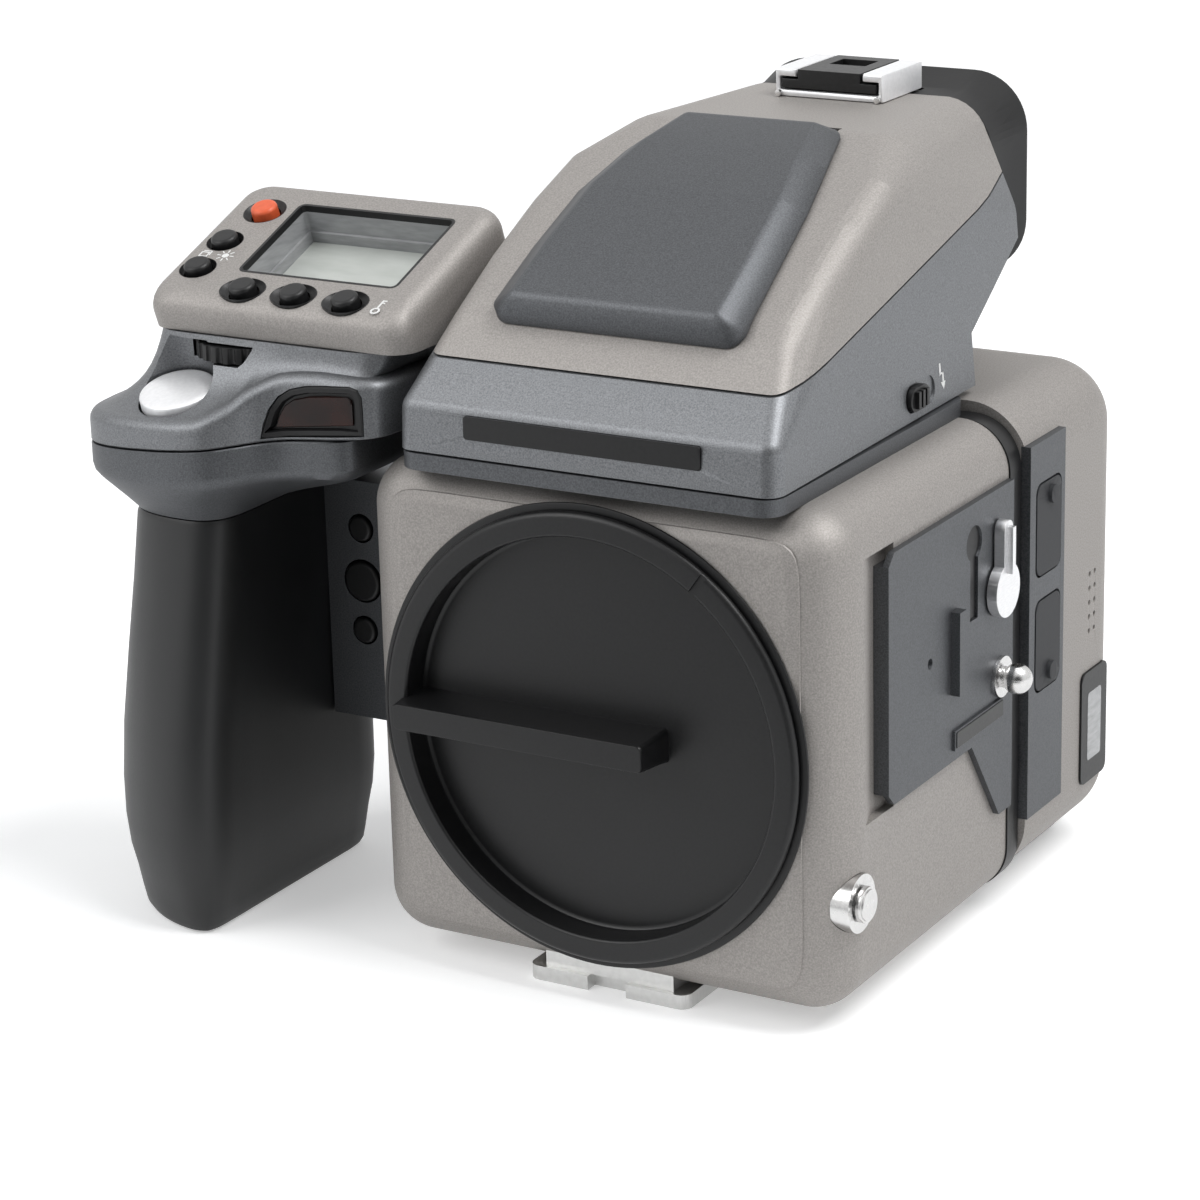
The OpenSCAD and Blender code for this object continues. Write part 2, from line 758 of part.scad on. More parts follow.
module eyecup() {
    front = tail_y + pin_gap;
    color(black) difference() {
        union() {
            hull() {
                cup_slice(front + 0.5, 0.5, cup_w - 1, tail_low + 1, roof_z - 0.3, cup_r - 1.5);
                cup_slice(cup_neck, 0.5, cup_w - 1.4, cup_low + 4, roof_z + 0.1, cup_r - 1);
            }
            hull() {
                cup_slice(cup_neck, 0.5, cup_w - 1.4, cup_low + 4, roof_z + 0.1, cup_r - 1);
                cup_slice(cup_rear - 1, 0.6, cup_w, cup_low, cup_top, cup_r);
                cup_slice(cup_rear, 0.2, cup_w - 1.4, cup_low + 0.7, cup_top - 0.7, cup_r - 0.8);
            }
        }
        eye_hole(eye_r + 1, tail_y - 5, 60);
        translate([0, 0, eye_z]) toward_front(cup_rear + 5, 9) round_rect(cup_w - 10, 25, 7);
        translate([-shoe_w / 2 - shoe_wall - run_gap, tail_y - 5, roof_z - run_gap])
            cube([shoe_w + 2 * (shoe_wall + run_gap), shoe_y + shoe_l - tail_y + 5 + run_gap, 20]);
    }
}

module accessory_shoe() {
    half = shoe_w / 2;
    color(chrome) translate([0, shoe_y, roof_z]) difference() {
        translate([-half - shoe_wall, 0, 0])
            cube([2 * (half + shoe_wall), shoe_l, shoe_base_t + shoe_slot + shoe_lip]);
        translate([-half, -1, shoe_base_t]) cube([shoe_w, shoe_l + 2, shoe_slot]);
        translate([-shoe_gap / 2, -1, shoe_base_t]) cube([shoe_gap, shoe_l + 2, shoe_slot + shoe_lip + 1]);
    }
}

module shoe_cover() {
    half = shoe_w / 2 - run_gap;
    low = roof_z + shoe_base_t + run_gap;
    color(black) difference() {
        union() {
            translate([-half, shoe_y, low]) cube([2 * half, shoe_l - 0.2, shoe_slot - 2 * run_gap]);
            translate([-shoe_gap / 2 + run_gap, shoe_y, low])
                cube([shoe_gap - 2 * run_gap, shoe_l - 0.2, shoe_slot + shoe_lip - run_gap]);
        }
        translate([-3.4, shoe_y + 7, low + shoe_slot + shoe_lip - run_gap - 1]) cube([6.8, 5.4, 3]);
    }
}

module diopter_knob() {
    color(black) on_heel() union() {
        translate([0, 0, -2.2]) cylinder(r = knob_stem_r, h = 2.6 + run_gap);
        translate([0, 0, run_gap]) difference() {
            cylinder(r = knob_r, h = knob_h);
            for (a = [0 : 30 : 330]) rotate([0, 0, a])
                translate([knob_r + 0.35, 0, -1]) cylinder(r = 0.6, h = knob_h + 2);
        }
    }
}

// Space below the tilted seam between collar and top shell
module below_grip_seam(shift) {
    translate([seam_x, 0, seam_z + shift]) rotate([0, -seam_tilt, 0])
        translate([-60, -100, -100]) cube([160, 200, 100]);
}

// Upright posts at the corners of the grip's top, drawn in by inset
module top_posts(z, h, inset) {
    for (p = [[-grip_x + 9.5, front_y + 34], [-grip_x + 9.5, nose_y - 1], [-grip_in - 4, nose_y + 1]])
        translate([p[0] + inset, p[1] + (p[1] > 0 ? -inset : inset), z])
            cylinder(r = nose_r, h = h, $fn = 32);
}

module grip_shell() {
    color(pewter) difference() {
        union() {
            hull() {
                top_posts(seam_z - 3, 5, 0);
                translate([-grip_x + 10, nose_y, seam_z + 4.4]) sphere(nose_r, $fn = 32);
                translate([-grip_in - 5, nose_y + 1, seam_z + 5.8]) sphere(nose_r, $fn = 32);
                translate([-grip_x + 12, front_y + 30, seam_z + 5]) sphere(nose_r, $fn = 32);
                translate([-grip_in + 3, front_y + 24, seam_z + 5]) sphere(nose_r, $fn = 32);
            }
            hull() {
                for (x = [lcd_x - lcd_w / 2 + 7, -shell_in - 7], y = [deck_front + 6, lcd_y - 2])
                    translate([x, y, seam_z]) cylinder(r = 6, h = deck_z - seam_z, $fn = 32);
            }
            hull() {
                for (x = [-grip_in + 8, -shell_in - 4]) {
                    translate([x, front_y + 3.6, seam_z]) cylinder(r = 4, h = 10, $fn = 32);
                    translate([x, front_y + 4.2, seam_z + 11]) sphere(4, $fn = 32);
                    translate([x, front_y + 14, seam_z + 15]) sphere(3.4, $fn = 32);
                }
            }
        }
        below_grip_seam(0);
        translate([-83, front_y + 10, seam_z - 1]) cube([38, 20, deck_z - seam_z - 6]);
        shutter_frame() translate([0, 0, -4]) cylinder(r = shutter_r + run_gap, h = 20);
        translate([wheel_x, wheel_y, wheel_z - run_gap])
            cylinder(r = wheel_r + run_gap, h = wheel_t + 2 * run_gap);
        translate([wheel_x, wheel_y, wheel_z - 4]) cylinder(r = axle_r + pin_gap, h = 5);
        translate([back_wheel_x, back_wheel_y, wheel_z - run_gap])
            cylinder(r = wheel_r + run_gap, h = wheel_t + 2 * run_gap);
        translate([back_wheel_x, back_wheel_y, wheel_z - 4]) cylinder(r = axle_r + pin_gap, h = 5);
        af_frame_form(pin_gap);
    }
}

// Local frame of the shutter release: z points out along its travel
module shutter_frame() {
    translate([shutter_x, shutter_y, shutter_z]) rotate([shutter_tilt, 0, 0]) children();
}

module shutter_button() {
    color(chrome) shutter_frame() translate([0, 0, -2.6]) key_form(shutter_r, 3.2, 0.9);
}

// Disc with a ribbed edge and an axle
module ribbed_wheel(axle_l) {
    difference() {
        cylinder(r = wheel_r, h = wheel_t);
        for (a = [0 : 15 : 345]) rotate([0, 0, a])
            translate([wheel_r + 0.3, 0, -1]) cylinder(r = 0.75, h = wheel_t + 2);
    }
    translate([0, 0, -axle_l]) cylinder(r = axle_r, h = axle_l + eps);
}

module front_wheel() {
    color(black) translate([wheel_x, wheel_y, wheel_z]) ribbed_wheel(3);
}

module rear_wheel() {
    color(black) translate([back_wheel_x, back_wheel_y, wheel_z]) ribbed_wheel(3);
}

module af_frame_form(grow) {
    translate([af_x, 0, af_z]) toward_front(af_y + 6, 6) round_rect(af_w + 2 * grow, af_h + 2 * grow, 1.6);
}

module af_frame() {
    color(black) difference() {
        af_frame_form(0);
        translate([af_x, 0, af_z]) toward_front(af_y + af_t, 6) round_rect(af_w - 3, af_h - 3, 1);
    }
}

module af_window() {
    color("#3a1512") translate([af_x, 0, af_z]) toward_front(af_y + af_t, 0.6)
        round_rect(af_w - 3 - 2 * pin_gap, af_h - 3 - 2 * pin_gap, 1);
}

module grip_collar() {
    color(pewter) difference() {
        hull() {
            top_posts(seam_z - 5, 8, 0);
            for (y = [front_y + 5.6, front_y + 30])
                translate([-side_x - 5.6, y, seam_z - 3]) cylinder(r = 5, h = 10, $fn = 32);
            top_posts(grip_h, 0.5, 5.5);
            translate([-grip_in - 6.5, front_y + 28, grip_h]) cylinder(r = nose_r, h = 0.5, $fn = 32);
        }
        translate([seam_x, 0, seam_z - seam_gap]) rotate([0, -seam_tilt, 0])
            translate([-60, -100, 0]) cube([160, 200, 60]);
        translate([-83, front_y + 10, grip_h + 3]) cube([20, 20, 20]);
    }
}

module battery_grip() {
    color(black) difference() {
        hull() {
            grip_slice(grip_h - 0.5, grip_x - 8, grip_in, grip_front + 8, grip_back - 4, 7, 0);
            grip_slice(waist_z, grip_x - 0.7, grip_in + 0.2, grip_front + 1.3, grip_back - 0.4, 8.7, 0.85);
            grip_slice(swell_z, grip_x, grip_in + 0.35, grip_front, grip_back, 9, 1);
            grip_slice(4, grip_x - 2.4, grip_in + 0.8, grip_front + 0.6, grip_back - 1, 8.8, 1);
            grip_slice(0, grip_x - 5, grip_in + 2, grip_front + 2.6, grip_back - 4, 7, 0.9);
        }
        translate([-grip_x + bay_x, grip_front + bay_y, grip_wall + 2])
            cube([bay_w, grip_d - 2 * bay_y, grip_h - grip_wall - 5]);
    }
}

// Thin level slice of the grip; palm, from 0 to 1, rounds its front left corner off
module grip_slice(z, left, right, near, far, r, palm) {
    w = left - right;
    d = far - near;
    palm_r = r + palm * (0.39 * w - r);
    palm_at = [-left + r + palm * (0.47 * w - r), near + r + palm * (0.27 * d - r)];
    translate([palm_at[0], palm_at[1], z]) cylinder(r = palm_r, h = 0.5, $fn = 48);
    translate([-left + 0.47 * w, near + 0.54 * d, z]) cylinder(r = 0.47 * w, h = 0.5, $fn = 48);
    for (c = [[-left + r, far - r], [-right - r, near + r], [-right - r, far - r]])
        translate([c[0], c[1], z]) cylinder(r = r, h = 0.5, $fn = 32);
}

module battery_cells() {
    color("#3c5a78") for (i = [0, 1])
        translate([-grip_x + bay_x + bay_w / 2, grip_front + bay_y + bay_w / 2 + i * bay_w, grip_wall + 2])
            cylinder(r = bay_w / 2 - run_gap, h = grip_h - grip_wall - 8);
}

module grip_bridge() {
    color(pewter) difference() {
        translate([-grip_in, bridge_y, bridge_low]) cube([grip_in - side_x, bridge_d, grip_h - bridge_low]);
        for (i = [0 : 2]) panel_key_at(i) cylinder(r = (i == 1 ? release_r : panel_key_r) + run_gap, h = 20);
    }
}

// Local frame of a key on the grip bridge: z points out towards -Y, its seat is 4 behind the face
module panel_key_at(i) {
    translate([panel_key_x, bridge_y + 4, panel_keys_z[i]]) rotate([90, 0, 0]) children();
}

module panel_key(i) {
    color(black) panel_key_at(i) translate([0, 0, key_travel + 0.2])
        key_form(i == 1 ? release_r : panel_key_r, 4 - key_travel + 0.4, 0.6);
}

// Local frame of the display housing: origin on its far top edge, y up the slope, z out of its top
module on_lcd(u, v) {
    translate([lcd_x, lcd_y, lcd_z]) rotate([lcd_tilt, 0, 0]) translate([u, v, 0]) children();
}

LCD_KEYS = [[-17.1, -6.6], [-19.1, -16.3], [-19.3, -24.6], [-7.4, -29], [2.7, -29], [13, -29.2]];

module lcd_housing() {
    color(taupe) difference() {
        intersection() {
            on_lcd(0, lcd_far) hull() for (s = [-1, 1], v = [-lcd_r, lcd_r - lcd_l]) {
                translate([s * (lcd_w / 2 - lcd_r), v, -lcd_r]) sphere(lcd_r, $fn = 32);
                translate([s * (lcd_w / 2 - lcd_r), v, -lcd_deep]) sphere(lcd_r, $fn = 32);
            }
            translate([-120, -100, deck_z]) cube([120, 200, 60]);
        }
        on_lcd(window_u, window_v) translate([0, 0, -window_d])
            linear_extrude(20) round_rect(window_w, window_l, 1);
        for (k = LCD_KEYS) on_lcd(k[0], k[1]) translate([0, 0, -3.4]) cylinder(r = key_r + run_gap, h = 10);
    }
}

module lcd_panel() {
    color("#b9beb4") on_lcd(window_u, window_v) translate([0, 0, -window_d])
        linear_extrude(panel_thick) round_rect(window_w - 2 * pin_gap, window_l - 2 * pin_gap, 1);
}

module lcd_key(i, tint) {
    color(tint) on_lcd(LCD_KEYS[i][0], LCD_KEYS[i][1]) translate([0, 0, -3.4 + key_travel + 0.2])
        key_form(key_r, 3.6, 0.7);
}

module unit_shell() {
    inner_w = unit_w - 2 * unit_wall - 4;
    color(taupe) difference() {
        translate([0, unit_rear, unit_low]) mirror([0, 1, 0]) soft_box(unit_w, unit_d, unit_h, unit_r);
        translate([-inner_w / 2, unit_y + unit_wall, unit_low + unit_wall + 2])
            cube([inner_w, unit_d - 2 * unit_wall - 3, unit_h - 2 * unit_wall - 4]);
        translate([0, 0, lens_z]) toward_front(unit_y + unit_wall + 1, unit_wall + 2)
            round_rect(gate_w, gate_h, 1.5);
        translate([unit_x - conn_t, unit_y - 1, conn_low]) cube([conn_t + 1, conn_w + 2, conn_top - conn_low]);
        side_window_form(pin_gap);
        for (i = [0 : 4], j = [0 : 1])
            cross_cyl(0.5, unit_x - 1, unit_y + 26.5 + j * 2.2, lens_z - 4 + i * 2.6, 3);
        translate([0, 0, screen_mid]) toward_front(unit_rear + 1, 2.6) round_rect(screen_w, screen_h, 2);
        rear_key_at(0) cylinder(r = pad_r + run_gap, h = 10);
        for (s = [-1, 1]) rear_key_at(s * rear_key_x) cylinder(r = rear_key_r + run_gap, h = 10);
    }
}

module unit_base() {
    color(black) translate([-unit_x + unit_r - 1.5, unit_y, unit_low - foot_drop])
        cube([unit_w - 2 * unit_r + 3, unit_d - 7, foot_drop]);
}

// Local frame of a key on the sensor unit's rear face: z points out towards +Y
module rear_key_at(x) {
    translate([x, unit_rear - 2.4, key_row]) rotate([-90, 0, 0]) children();
}

module rear_key(x, r) {
    color(black) rear_key_at(x) translate([0, 0, key_travel + 0.2]) key_form(r, 2.4 - key_travel + 0.5, 0.5);
}

module image_sensor() {
    color("#4d6f6a") translate([-gate_w / 2 - 3, unit_y + unit_wall, lens_z - gate_h / 2 - 3])
        cube([gate_w + 6, 2.5, gate_h + 6]);
}

module sensor_board() {
    color("#2f5c3a") translate([-35, unit_y + unit_wall + 2.5, lens_z - 30]) cube([70, 1.6, 62]);
}

module connector_panel() {
    color(pewter) difference() {
        translate([unit_x - conn_t, unit_y, conn_low + pin_gap])
            cube([conn_t + 0.4, conn_w + 1 - pin_gap, conn_top - conn_low - 2 * pin_gap]);
        for (z = port_zs) translate([unit_x - conn_t + 0.4, port_y, z]) rotate([90, 0, 90]) linear_extrude(4)
            round_rect(port_w + 2 * run_gap, port_h + 2 * run_gap, 2);
    }
}

module port_cover(i) {
    flap_x = unit_x - conn_t + 0.4 + run_gap;
    tab = i == 0 ? 1 : -1;
    color(black) union() {
        translate([flap_x, port_y, port_zs[i]]) rotate([90, 0, 90])
            linear_extrude(port_t) round_rect(port_w, port_h, 2);
        cross_cyl(1.6, flap_x, port_y + 1, port_zs[i] + tab * (port_h / 2 - 2.6), port_t + 0.7);
    }
}

module side_window_form(grow) {
    translate([unit_x - 2.6, unit_y + 28.5, lens_z - 21.6]) rotate([90, 0, 90]) linear_extrude(3)
        round_rect(11 + 2 * grow, 20.6 + 2 * grow, 1.6);
}

module side_window() {
    color(black) side_window_form(0);
}

module rear_display() {
    color("#15181b") translate([0, 0, screen_mid]) toward_front(unit_rear - 0.2, 1.4)
        round_rect(screen_w - 2 * pin_gap, screen_h - 2 * pin_gap, 2);
}

module fasteners() {
    color("#9a9a98") for (s = [-1, 1]) {
        translate([s * (shoe_w / 2 + 0.1), shoe_y, roof_z + 0.6])
            rotate([90, 0, 0]) cylinder(r = 0.55, h = 0.8);
    }
}

body_shell();
lens_mount_ring();
mirror_box();
focusing_screen();
interface_frame();
side_plate();
strap_lug();
sync_socket();
foot_plate();
finder_base();
finder_housing();
finder_cover();
front_nameplate();
prism();
eyepiece_lens();
eyecup();
accessory_shoe();
grip_bridge();
grip_collar();
grip_shell();
battery_grip();
battery_cells();
lcd_housing();
lcd_panel();
af_frame();
af_window();
fasteners();
body_cap();
reflex_mirror();
sync_cap();
lock_lever();
flash_lid();
flash_reflector();
flash_switch();
shoe_cover();
diopter_knob();
lcd_key(0, "#d8452e");  // on_off_button
lcd_key(1, black);  // light_button
lcd_key(2, black);  // menu_button
lcd_key(3, black);  // iso_button
lcd_key(4, black);  // focus_button
lcd_key(5, black);  // flash_button
shutter_button();
front_wheel();
rear_wheel();
panel_key(0);  // mirror_up_button
panel_key(1);  // lens_release_button
panel_key(2);  // stop_down_button
unit_shell();
image_sensor();
sensor_board();
unit_base();
connector_panel();
port_cover(0);  // port_cover_upper
port_cover(1);  // port_cover_lower
side_window();
rear_display();
rear_key(0, pad_r);  // rear_pad
rear_key(-rear_key_x, rear_key_r);  // rear_key_left
rear_key(rear_key_x, rear_key_r);  // rear_key_right
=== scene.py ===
import math

import bmesh
import bpy
from mathutils import Matrix, Vector


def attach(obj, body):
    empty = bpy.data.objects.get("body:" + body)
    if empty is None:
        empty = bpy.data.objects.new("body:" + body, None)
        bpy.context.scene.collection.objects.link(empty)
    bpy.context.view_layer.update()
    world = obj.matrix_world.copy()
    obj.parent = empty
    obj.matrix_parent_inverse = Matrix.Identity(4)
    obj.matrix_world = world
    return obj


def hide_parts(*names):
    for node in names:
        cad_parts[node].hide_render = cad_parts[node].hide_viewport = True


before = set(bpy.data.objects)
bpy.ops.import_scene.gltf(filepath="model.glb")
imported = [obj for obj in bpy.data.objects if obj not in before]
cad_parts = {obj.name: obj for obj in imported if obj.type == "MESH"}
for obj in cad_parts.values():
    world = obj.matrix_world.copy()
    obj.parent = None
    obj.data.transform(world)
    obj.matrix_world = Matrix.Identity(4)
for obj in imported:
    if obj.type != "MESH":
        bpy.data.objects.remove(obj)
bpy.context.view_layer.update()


# Body casting: a die-cast box, sprayed with a warm grey lacquer whose grain sparkles a little.
# The square panel around the lens mount is raised by half a millimetre and runs out in a soft step.
class Shade:
    """A socket of a finish, so that shader sums can be written as plain sums."""

    def __init__(self, finish, socket):
        self.finish = finish
        self.socket = socket

    def maths(self, how, a, b):
        return self.finish.node("ShaderNodeMath", {"operation": how}, {0: a, 1: b})

    def __add__(self, other):
        return self.maths("ADD", self, other)

    def __sub__(self, other):
        return self.maths("SUBTRACT", self, other)

    def __rsub__(self, other):
        return self.maths("SUBTRACT", other, self)

    def __mul__(self, other):
        return self.maths("MULTIPLY", self, other)

    __radd__ = __add__
    __rmul__ = __mul__


class Finish:
    """A procedural material, or the light of the room, in the making."""

    def __init__(self, name, kind="materials", place="Object"):
        self.material = getattr(bpy.data, kind).new(name)
        self.material.use_nodes = True
        self.tree = self.material.node_tree
        self.tree.nodes.clear()
        self.place = self.node("ShaderNodeTexCoord", {}, {}, place)

    def node(self, kind, settings, sockets, out=0):
        """Adds a node: its settings first, then the values or links of its sockets."""
        made = self.tree.nodes.new(kind)
        for key, value in settings.items():
            if key == "stops":
                first, last = made.color_ramp.elements
                first.position, last.position = value[0][0], value[-1][0]
                first.color, last.color = (*value[0][1], 1), (*value[-1][1], 1)
                for at, colour in value[1:-1]:
                    made.color_ramp.elements.new(at).color = (*colour, 1)
            else:
                setattr(made, key, value)
        for key, value in sockets.items():
            if isinstance(value, Shade):
                self.tree.links.new(value.socket, made.inputs[key])
            else:
                made.inputs[key].default_value = value
        return Shade(self, made.outputs[out]) if made.outputs else None

    def noise(self, scale, detail=2.0, stretch=None):
        place = self.place
        if stretch:
            place = self.node("ShaderNodeMapping", {}, {"Vector": place, "Scale": stretch})
        sockets = {"Vector": place, "Scale": scale, "Detail": detail}
        return self.node("ShaderNodeTexNoise", {}, sockets)

    def tones(self, amount, *stops):
        return self.node("ShaderNodeValToRGB", {"stops": stops}, {"Fac": amount})

    def mixed(self, amount, a, b):
        return self.node("ShaderNodeMix", {"data_type": "RGBA"}, {0: amount, 6: a, 7: b}, 2)

    def surface(self, bump=None, depth=0.03, strength=0.3, **sockets):
        """Ends the material, with a relief whose depth is in millimetres."""
        names = {key.replace("_", " ").title(): value for key, value in sockets.items()}
        for key in [key for key in names if "Ior" in key]:
            names[key.replace("Ior", "IOR")] = names.pop(key)
        if bump is not None:
            relief = {"Height": bump, "Distance": depth / 1000, "Strength": strength}
            names["Normal"] = self.node("ShaderNodeBump", {}, relief)
        shader = self.node("ShaderNodeBsdfPrincipled", {}, names)
        self.node("ShaderNodeOutputMaterial", {}, {"Surface": shader})
        return self.material


def grained_lacquer(name, tone, spread, metallic, roughness, scale):
    """A metal-flake lacquer: flecks lighter and darker than its tone, with a faint cloudiness."""
    paint = Finish(name)
    grain = paint.noise(scale, 2.0)
    cloud = paint.noise(38, 2.0)
    flecks = paint.tones(grain, (0.3, [c * (1 - spread) for c in tone]), (0.5, tone),
                         (0.7, [c * (1 + spread) for c in tone]))
    colour = paint.mixed(cloud * 0.15, flecks, (*[c * 0.85 for c in tone], 1))
    return paint.surface(grain, 0.02, 0.18, base_color=colour, metallic=metallic,
                         roughness=grain * 0.16 + roughness)


CREASE, SOFT_CREASE = 32, 58
CAST_EDGE, EDGE_STEPS, WELD_GAP = 0.5, 2, 0.004


def round_corners(limit):
    """A node group that shades smoothly over angles below a limit in degrees."""
    group = bpy.data.node_groups.new(f"shade_by_angle_{limit}", "GeometryNodeTree")
    group.interface.new_socket("Geometry", in_out="INPUT", socket_type="NodeSocketGeometry")
    group.interface.new_socket("Geometry", in_out="OUTPUT", socket_type="NodeSocketGeometry")
    start, end = group.nodes.new("NodeGroupInput"), group.nodes.new("NodeGroupOutput")
    angle = group.nodes.new("GeometryNodeInputMeshEdgeAngle")
    small = group.nodes.new("FunctionNodeCompare")
    small.operation = "LESS_THAN"
    small.inputs[1].default_value = math.radians(limit)
    faces, edges = (group.nodes.new("GeometryNodeSetShadeSmooth") for _ in range(2))
    edges.domain = "EDGE"
    group.links.new(start.outputs[0], faces.inputs["Geometry"])
    group.links.new(faces.outputs[0], edges.inputs["Geometry"])
    group.links.new(angle.outputs["Unsigned Angle"], small.inputs[0])
    group.links.new(small.outputs[0], edges.inputs["Shade Smooth"])
    group.links.new(edges.outputs[0], end.inputs[0])
    return group


shade_by_angle = {limit: round_corners(limit) for limit in (CREASE, SOFT_CREASE)}


def soften(piece, edge, limit=CREASE):
    """Breaks sharp edges by a width in millimetres and shades the piece as one smooth skin."""
    piece.modifiers.new("weld", "WELD").merge_threshold = WELD_GAP / 1000
    if edge:
        bevel = piece.modifiers.new("broken_edges", "BEVEL")
        bevel.width, bevel.segments = edge / 1000, EDGE_STEPS
        bevel.limit_method, bevel.angle_limit = "ANGLE", math.radians(CREASE)
        bevel.miter_outer = "MITER_ARC"
    piece.modifiers.new("smooth", "NODES").node_group = shade_by_angle[limit]
    if limit == CREASE:
        piece.modifiers.new("flat_faces", "WEIGHTED_NORMAL").keep_sharp = True


def dress(finish, *names, edge=0.3, limit=CREASE):
    """Gives CAD nodes their finish and broken edges."""
    for name in names:
        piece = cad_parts[name]
        piece.data.materials.clear()
        piece.data.materials.append(finish)
        soften(piece, edge, limit)


def drawn(name, spots, faces, finish):
    """A mesh object from its corners, in metres, and its faces."""
    mesh = bpy.data.meshes.new(name)
    mesh.from_pydata(spots, [], faces)
    mesh.materials.append(finish)
    piece = bpy.data.objects.new(name, mesh)
    bpy.context.scene.collection.objects.link(piece)
    return piece


def skin_over(name, rings, finish, low_cap=True, high_cap=True):
    """A mesh drawn over rings of equal length, given in millimetres."""
    count, last = len(rings[0]), len(rings) - 1
    spots = [(p[0] / 1000, p[1] / 1000, p[2] / 1000) for ring in rings for p in ring]
    faces = []
    for k in range(last):
        for i in range(count):
            j = (i + 1) % count
            faces.append((k * count + i, k * count + j, (k + 1) * count + j, (k + 1) * count + i))
    if low_cap:
        faces.append(tuple(reversed(range(count))))
    if high_cap:
        faces.append(tuple(last * count + i for i in range(count)))
    piece = drawn(name, spots, faces, finish)
    shape = bmesh.new()
    shape.from_mesh(piece.data)
    bmesh.ops.recalc_face_normals(shape, faces=shape.faces)
    shape.to_mesh(piece.data)
    shape.free()
    return piece


def fit(piece, body, node=None):
    """Smooths a drawn piece and fixes it to a body, in the place of a CAD node if one is named."""
    soften(piece, 0)
    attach(piece, body)
    if node:
        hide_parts(node)


warm_grey = grained_lacquer("warm_grey_lacquer", (0.325, 0.306, 0.29), spread=0.2, metallic=0.5,
                            roughness=0.5, scale=3600)
dress(warm_grey, "body_shell", edge=CAST_EDGE)

LENS_AXIS_Z, MOUNT_RADIUS = 45.5, 36.2
PANEL_FACE, PANEL_FOOT, PANEL_SQUARENESS, PANEL_POINTS = -34.05, -33.3, 18, 240
# half width and depth of the soft step, from the panel's face out to the casting
panel_step = ((35.0, PANEL_FACE), (35.3, -34.03), (35.7, -33.94), (36.1, -33.8), (36.5, -33.66),
              (36.8, -33.57), (37.1, -33.52), (37.2, PANEL_FOOT))
turns = [math.tau * k / PANEL_POINTS for k in range(PANEL_POINTS)]
headings = [(math.cos(a), math.sin(a)) for a in turns]


def around_mount(reach, y):
    """A ring about the lens axis, as far out in each heading as told."""
    return [(r * c, y, LENS_AXIS_Z + r * s) for r, (c, s) in zip(reach, headings)]


def square_reach(half):
    """How far a square with round corners reaches out in each heading."""
    n = PANEL_SQUARENESS
    return [half / (abs(c) ** n + abs(s) ** n) ** (1 / n) for c, s in headings]


rings = [around_mount([MOUNT_RADIUS] * len(headings), y) for y in (PANEL_FOOT, PANEL_FACE)]
rings += [around_mount(square_reach(half), y) for half, y in panel_step]
front_panel = skin_over("front_panel", rings + rings[:1], warm_grey, False, False)
fit(front_panel, "camera_body")


# Lens mount ring, mirror box and the gasket frame at the rear: black anodised and moulded parts
# screwed into the casting. The mirror box is flocked dull black inside.
def two_toned(name, scale, dark, light, roughness, spread=0, stretch=None, relief=None,
              stops=(0.3, 0.7), detail=2.0, **sockets):
    """A finish that drifts between two close tones. Its roughness drifts along by a spread, and so
    does its relief, given as a depth in millimetres and a strength."""
    finish = Finish(name)
    drift = finish.noise(scale, detail, stretch)
    colour = finish.tones(drift, (stops[0], dark), (stops[1], light))
    if spread:
        roughness = drift * spread + roughness
    if relief:
        return finish.surface(drift, *relief, base_color=colour, roughness=roughness, **sockets)
    return finish.surface(base_color=colour, roughness=roughness, **sockets)


def moulded_black(name, tone, roughness, scale=1500):
    """Black plastic with the fine grain of its mould."""
    return two_toned(name, scale, [c * 0.8 for c in tone], [c * 1.25 for c in tone], roughness,
                     spread=0.14, relief=(0.02, 0.2), specular_ior_level=0.38)


satin_black = moulded_black("satin_black_moulding", (0.007, 0.007, 0.0075), roughness=0.34)
dull_black = moulded_black("flocked_black", (0.006, 0.006, 0.006), roughness=0.8, scale=3000)
dress(satin_black, "lens_mount_ring", "interface_frame")
dress(dull_black, "mirror_box", edge=0)


# Focusing screen, prism, eyepiece lens and mirror: optical glass, cemented and clamped in place.
# The mirror is silvered on its front.
FINE_EDGE = 0.2
GLASS_TINT = (0.86, 0.92, 0.93)
clear_glass = two_toned("optical_glass", 90, [c * 0.94 for c in GLASS_TINT], GLASS_TINT,
                        roughness=0.02, spread=0.05, transmission_weight=0.85, ior=1.5)
dress(clear_glass, "focusing_screen", "prism", "eyepiece_lens", edge=FINE_EDGE)
silvering = two_toned("front_silvering", 120, (0.78, 0.82, 0.86), (0.86, 0.89, 0.92),
                      roughness=0.02, spread=0.05, metallic=1.0)
dress(silvering, "reflex_mirror", edge=FINE_EDGE)


# Side plate with its lever, strap stud and flash sync socket: a pressed charcoal plate riveted to the
# casting, with bright metal fittings. It has a black label strip, and a keyhole beside the lever.
def plated(name, tone, roughness, stretch):
    """Bare or plated metal with faint streaks."""
    return two_toned(name, 900, [c * 0.9 for c in tone], tone, roughness, spread=0.16, stretch=stretch,
                     relief=(0.01, 0.15), metallic=1.0)


charcoal = grained_lacquer("charcoal_lacquer", (0.105, 0.109, 0.116), spread=0.28, metallic=0.85,
                           roughness=0.42, scale=4000)
brushed_silver = plated("brushed_silver", (0.8, 0.8, 0.81), roughness=0.33, stretch=(1, 1, 4))
satin_chrome = plated("satin_chrome", (0.66, 0.655, 0.65), roughness=0.17, stretch=(1, 1, 1))
dress(charcoal, "side_plate", edge=0.4)
dress(brushed_silver, "lock_lever", edge=FINE_EDGE)
dress(satin_chrome, "strap_lug", "sync_socket", "sync_cap", edge=FINE_EDGE)


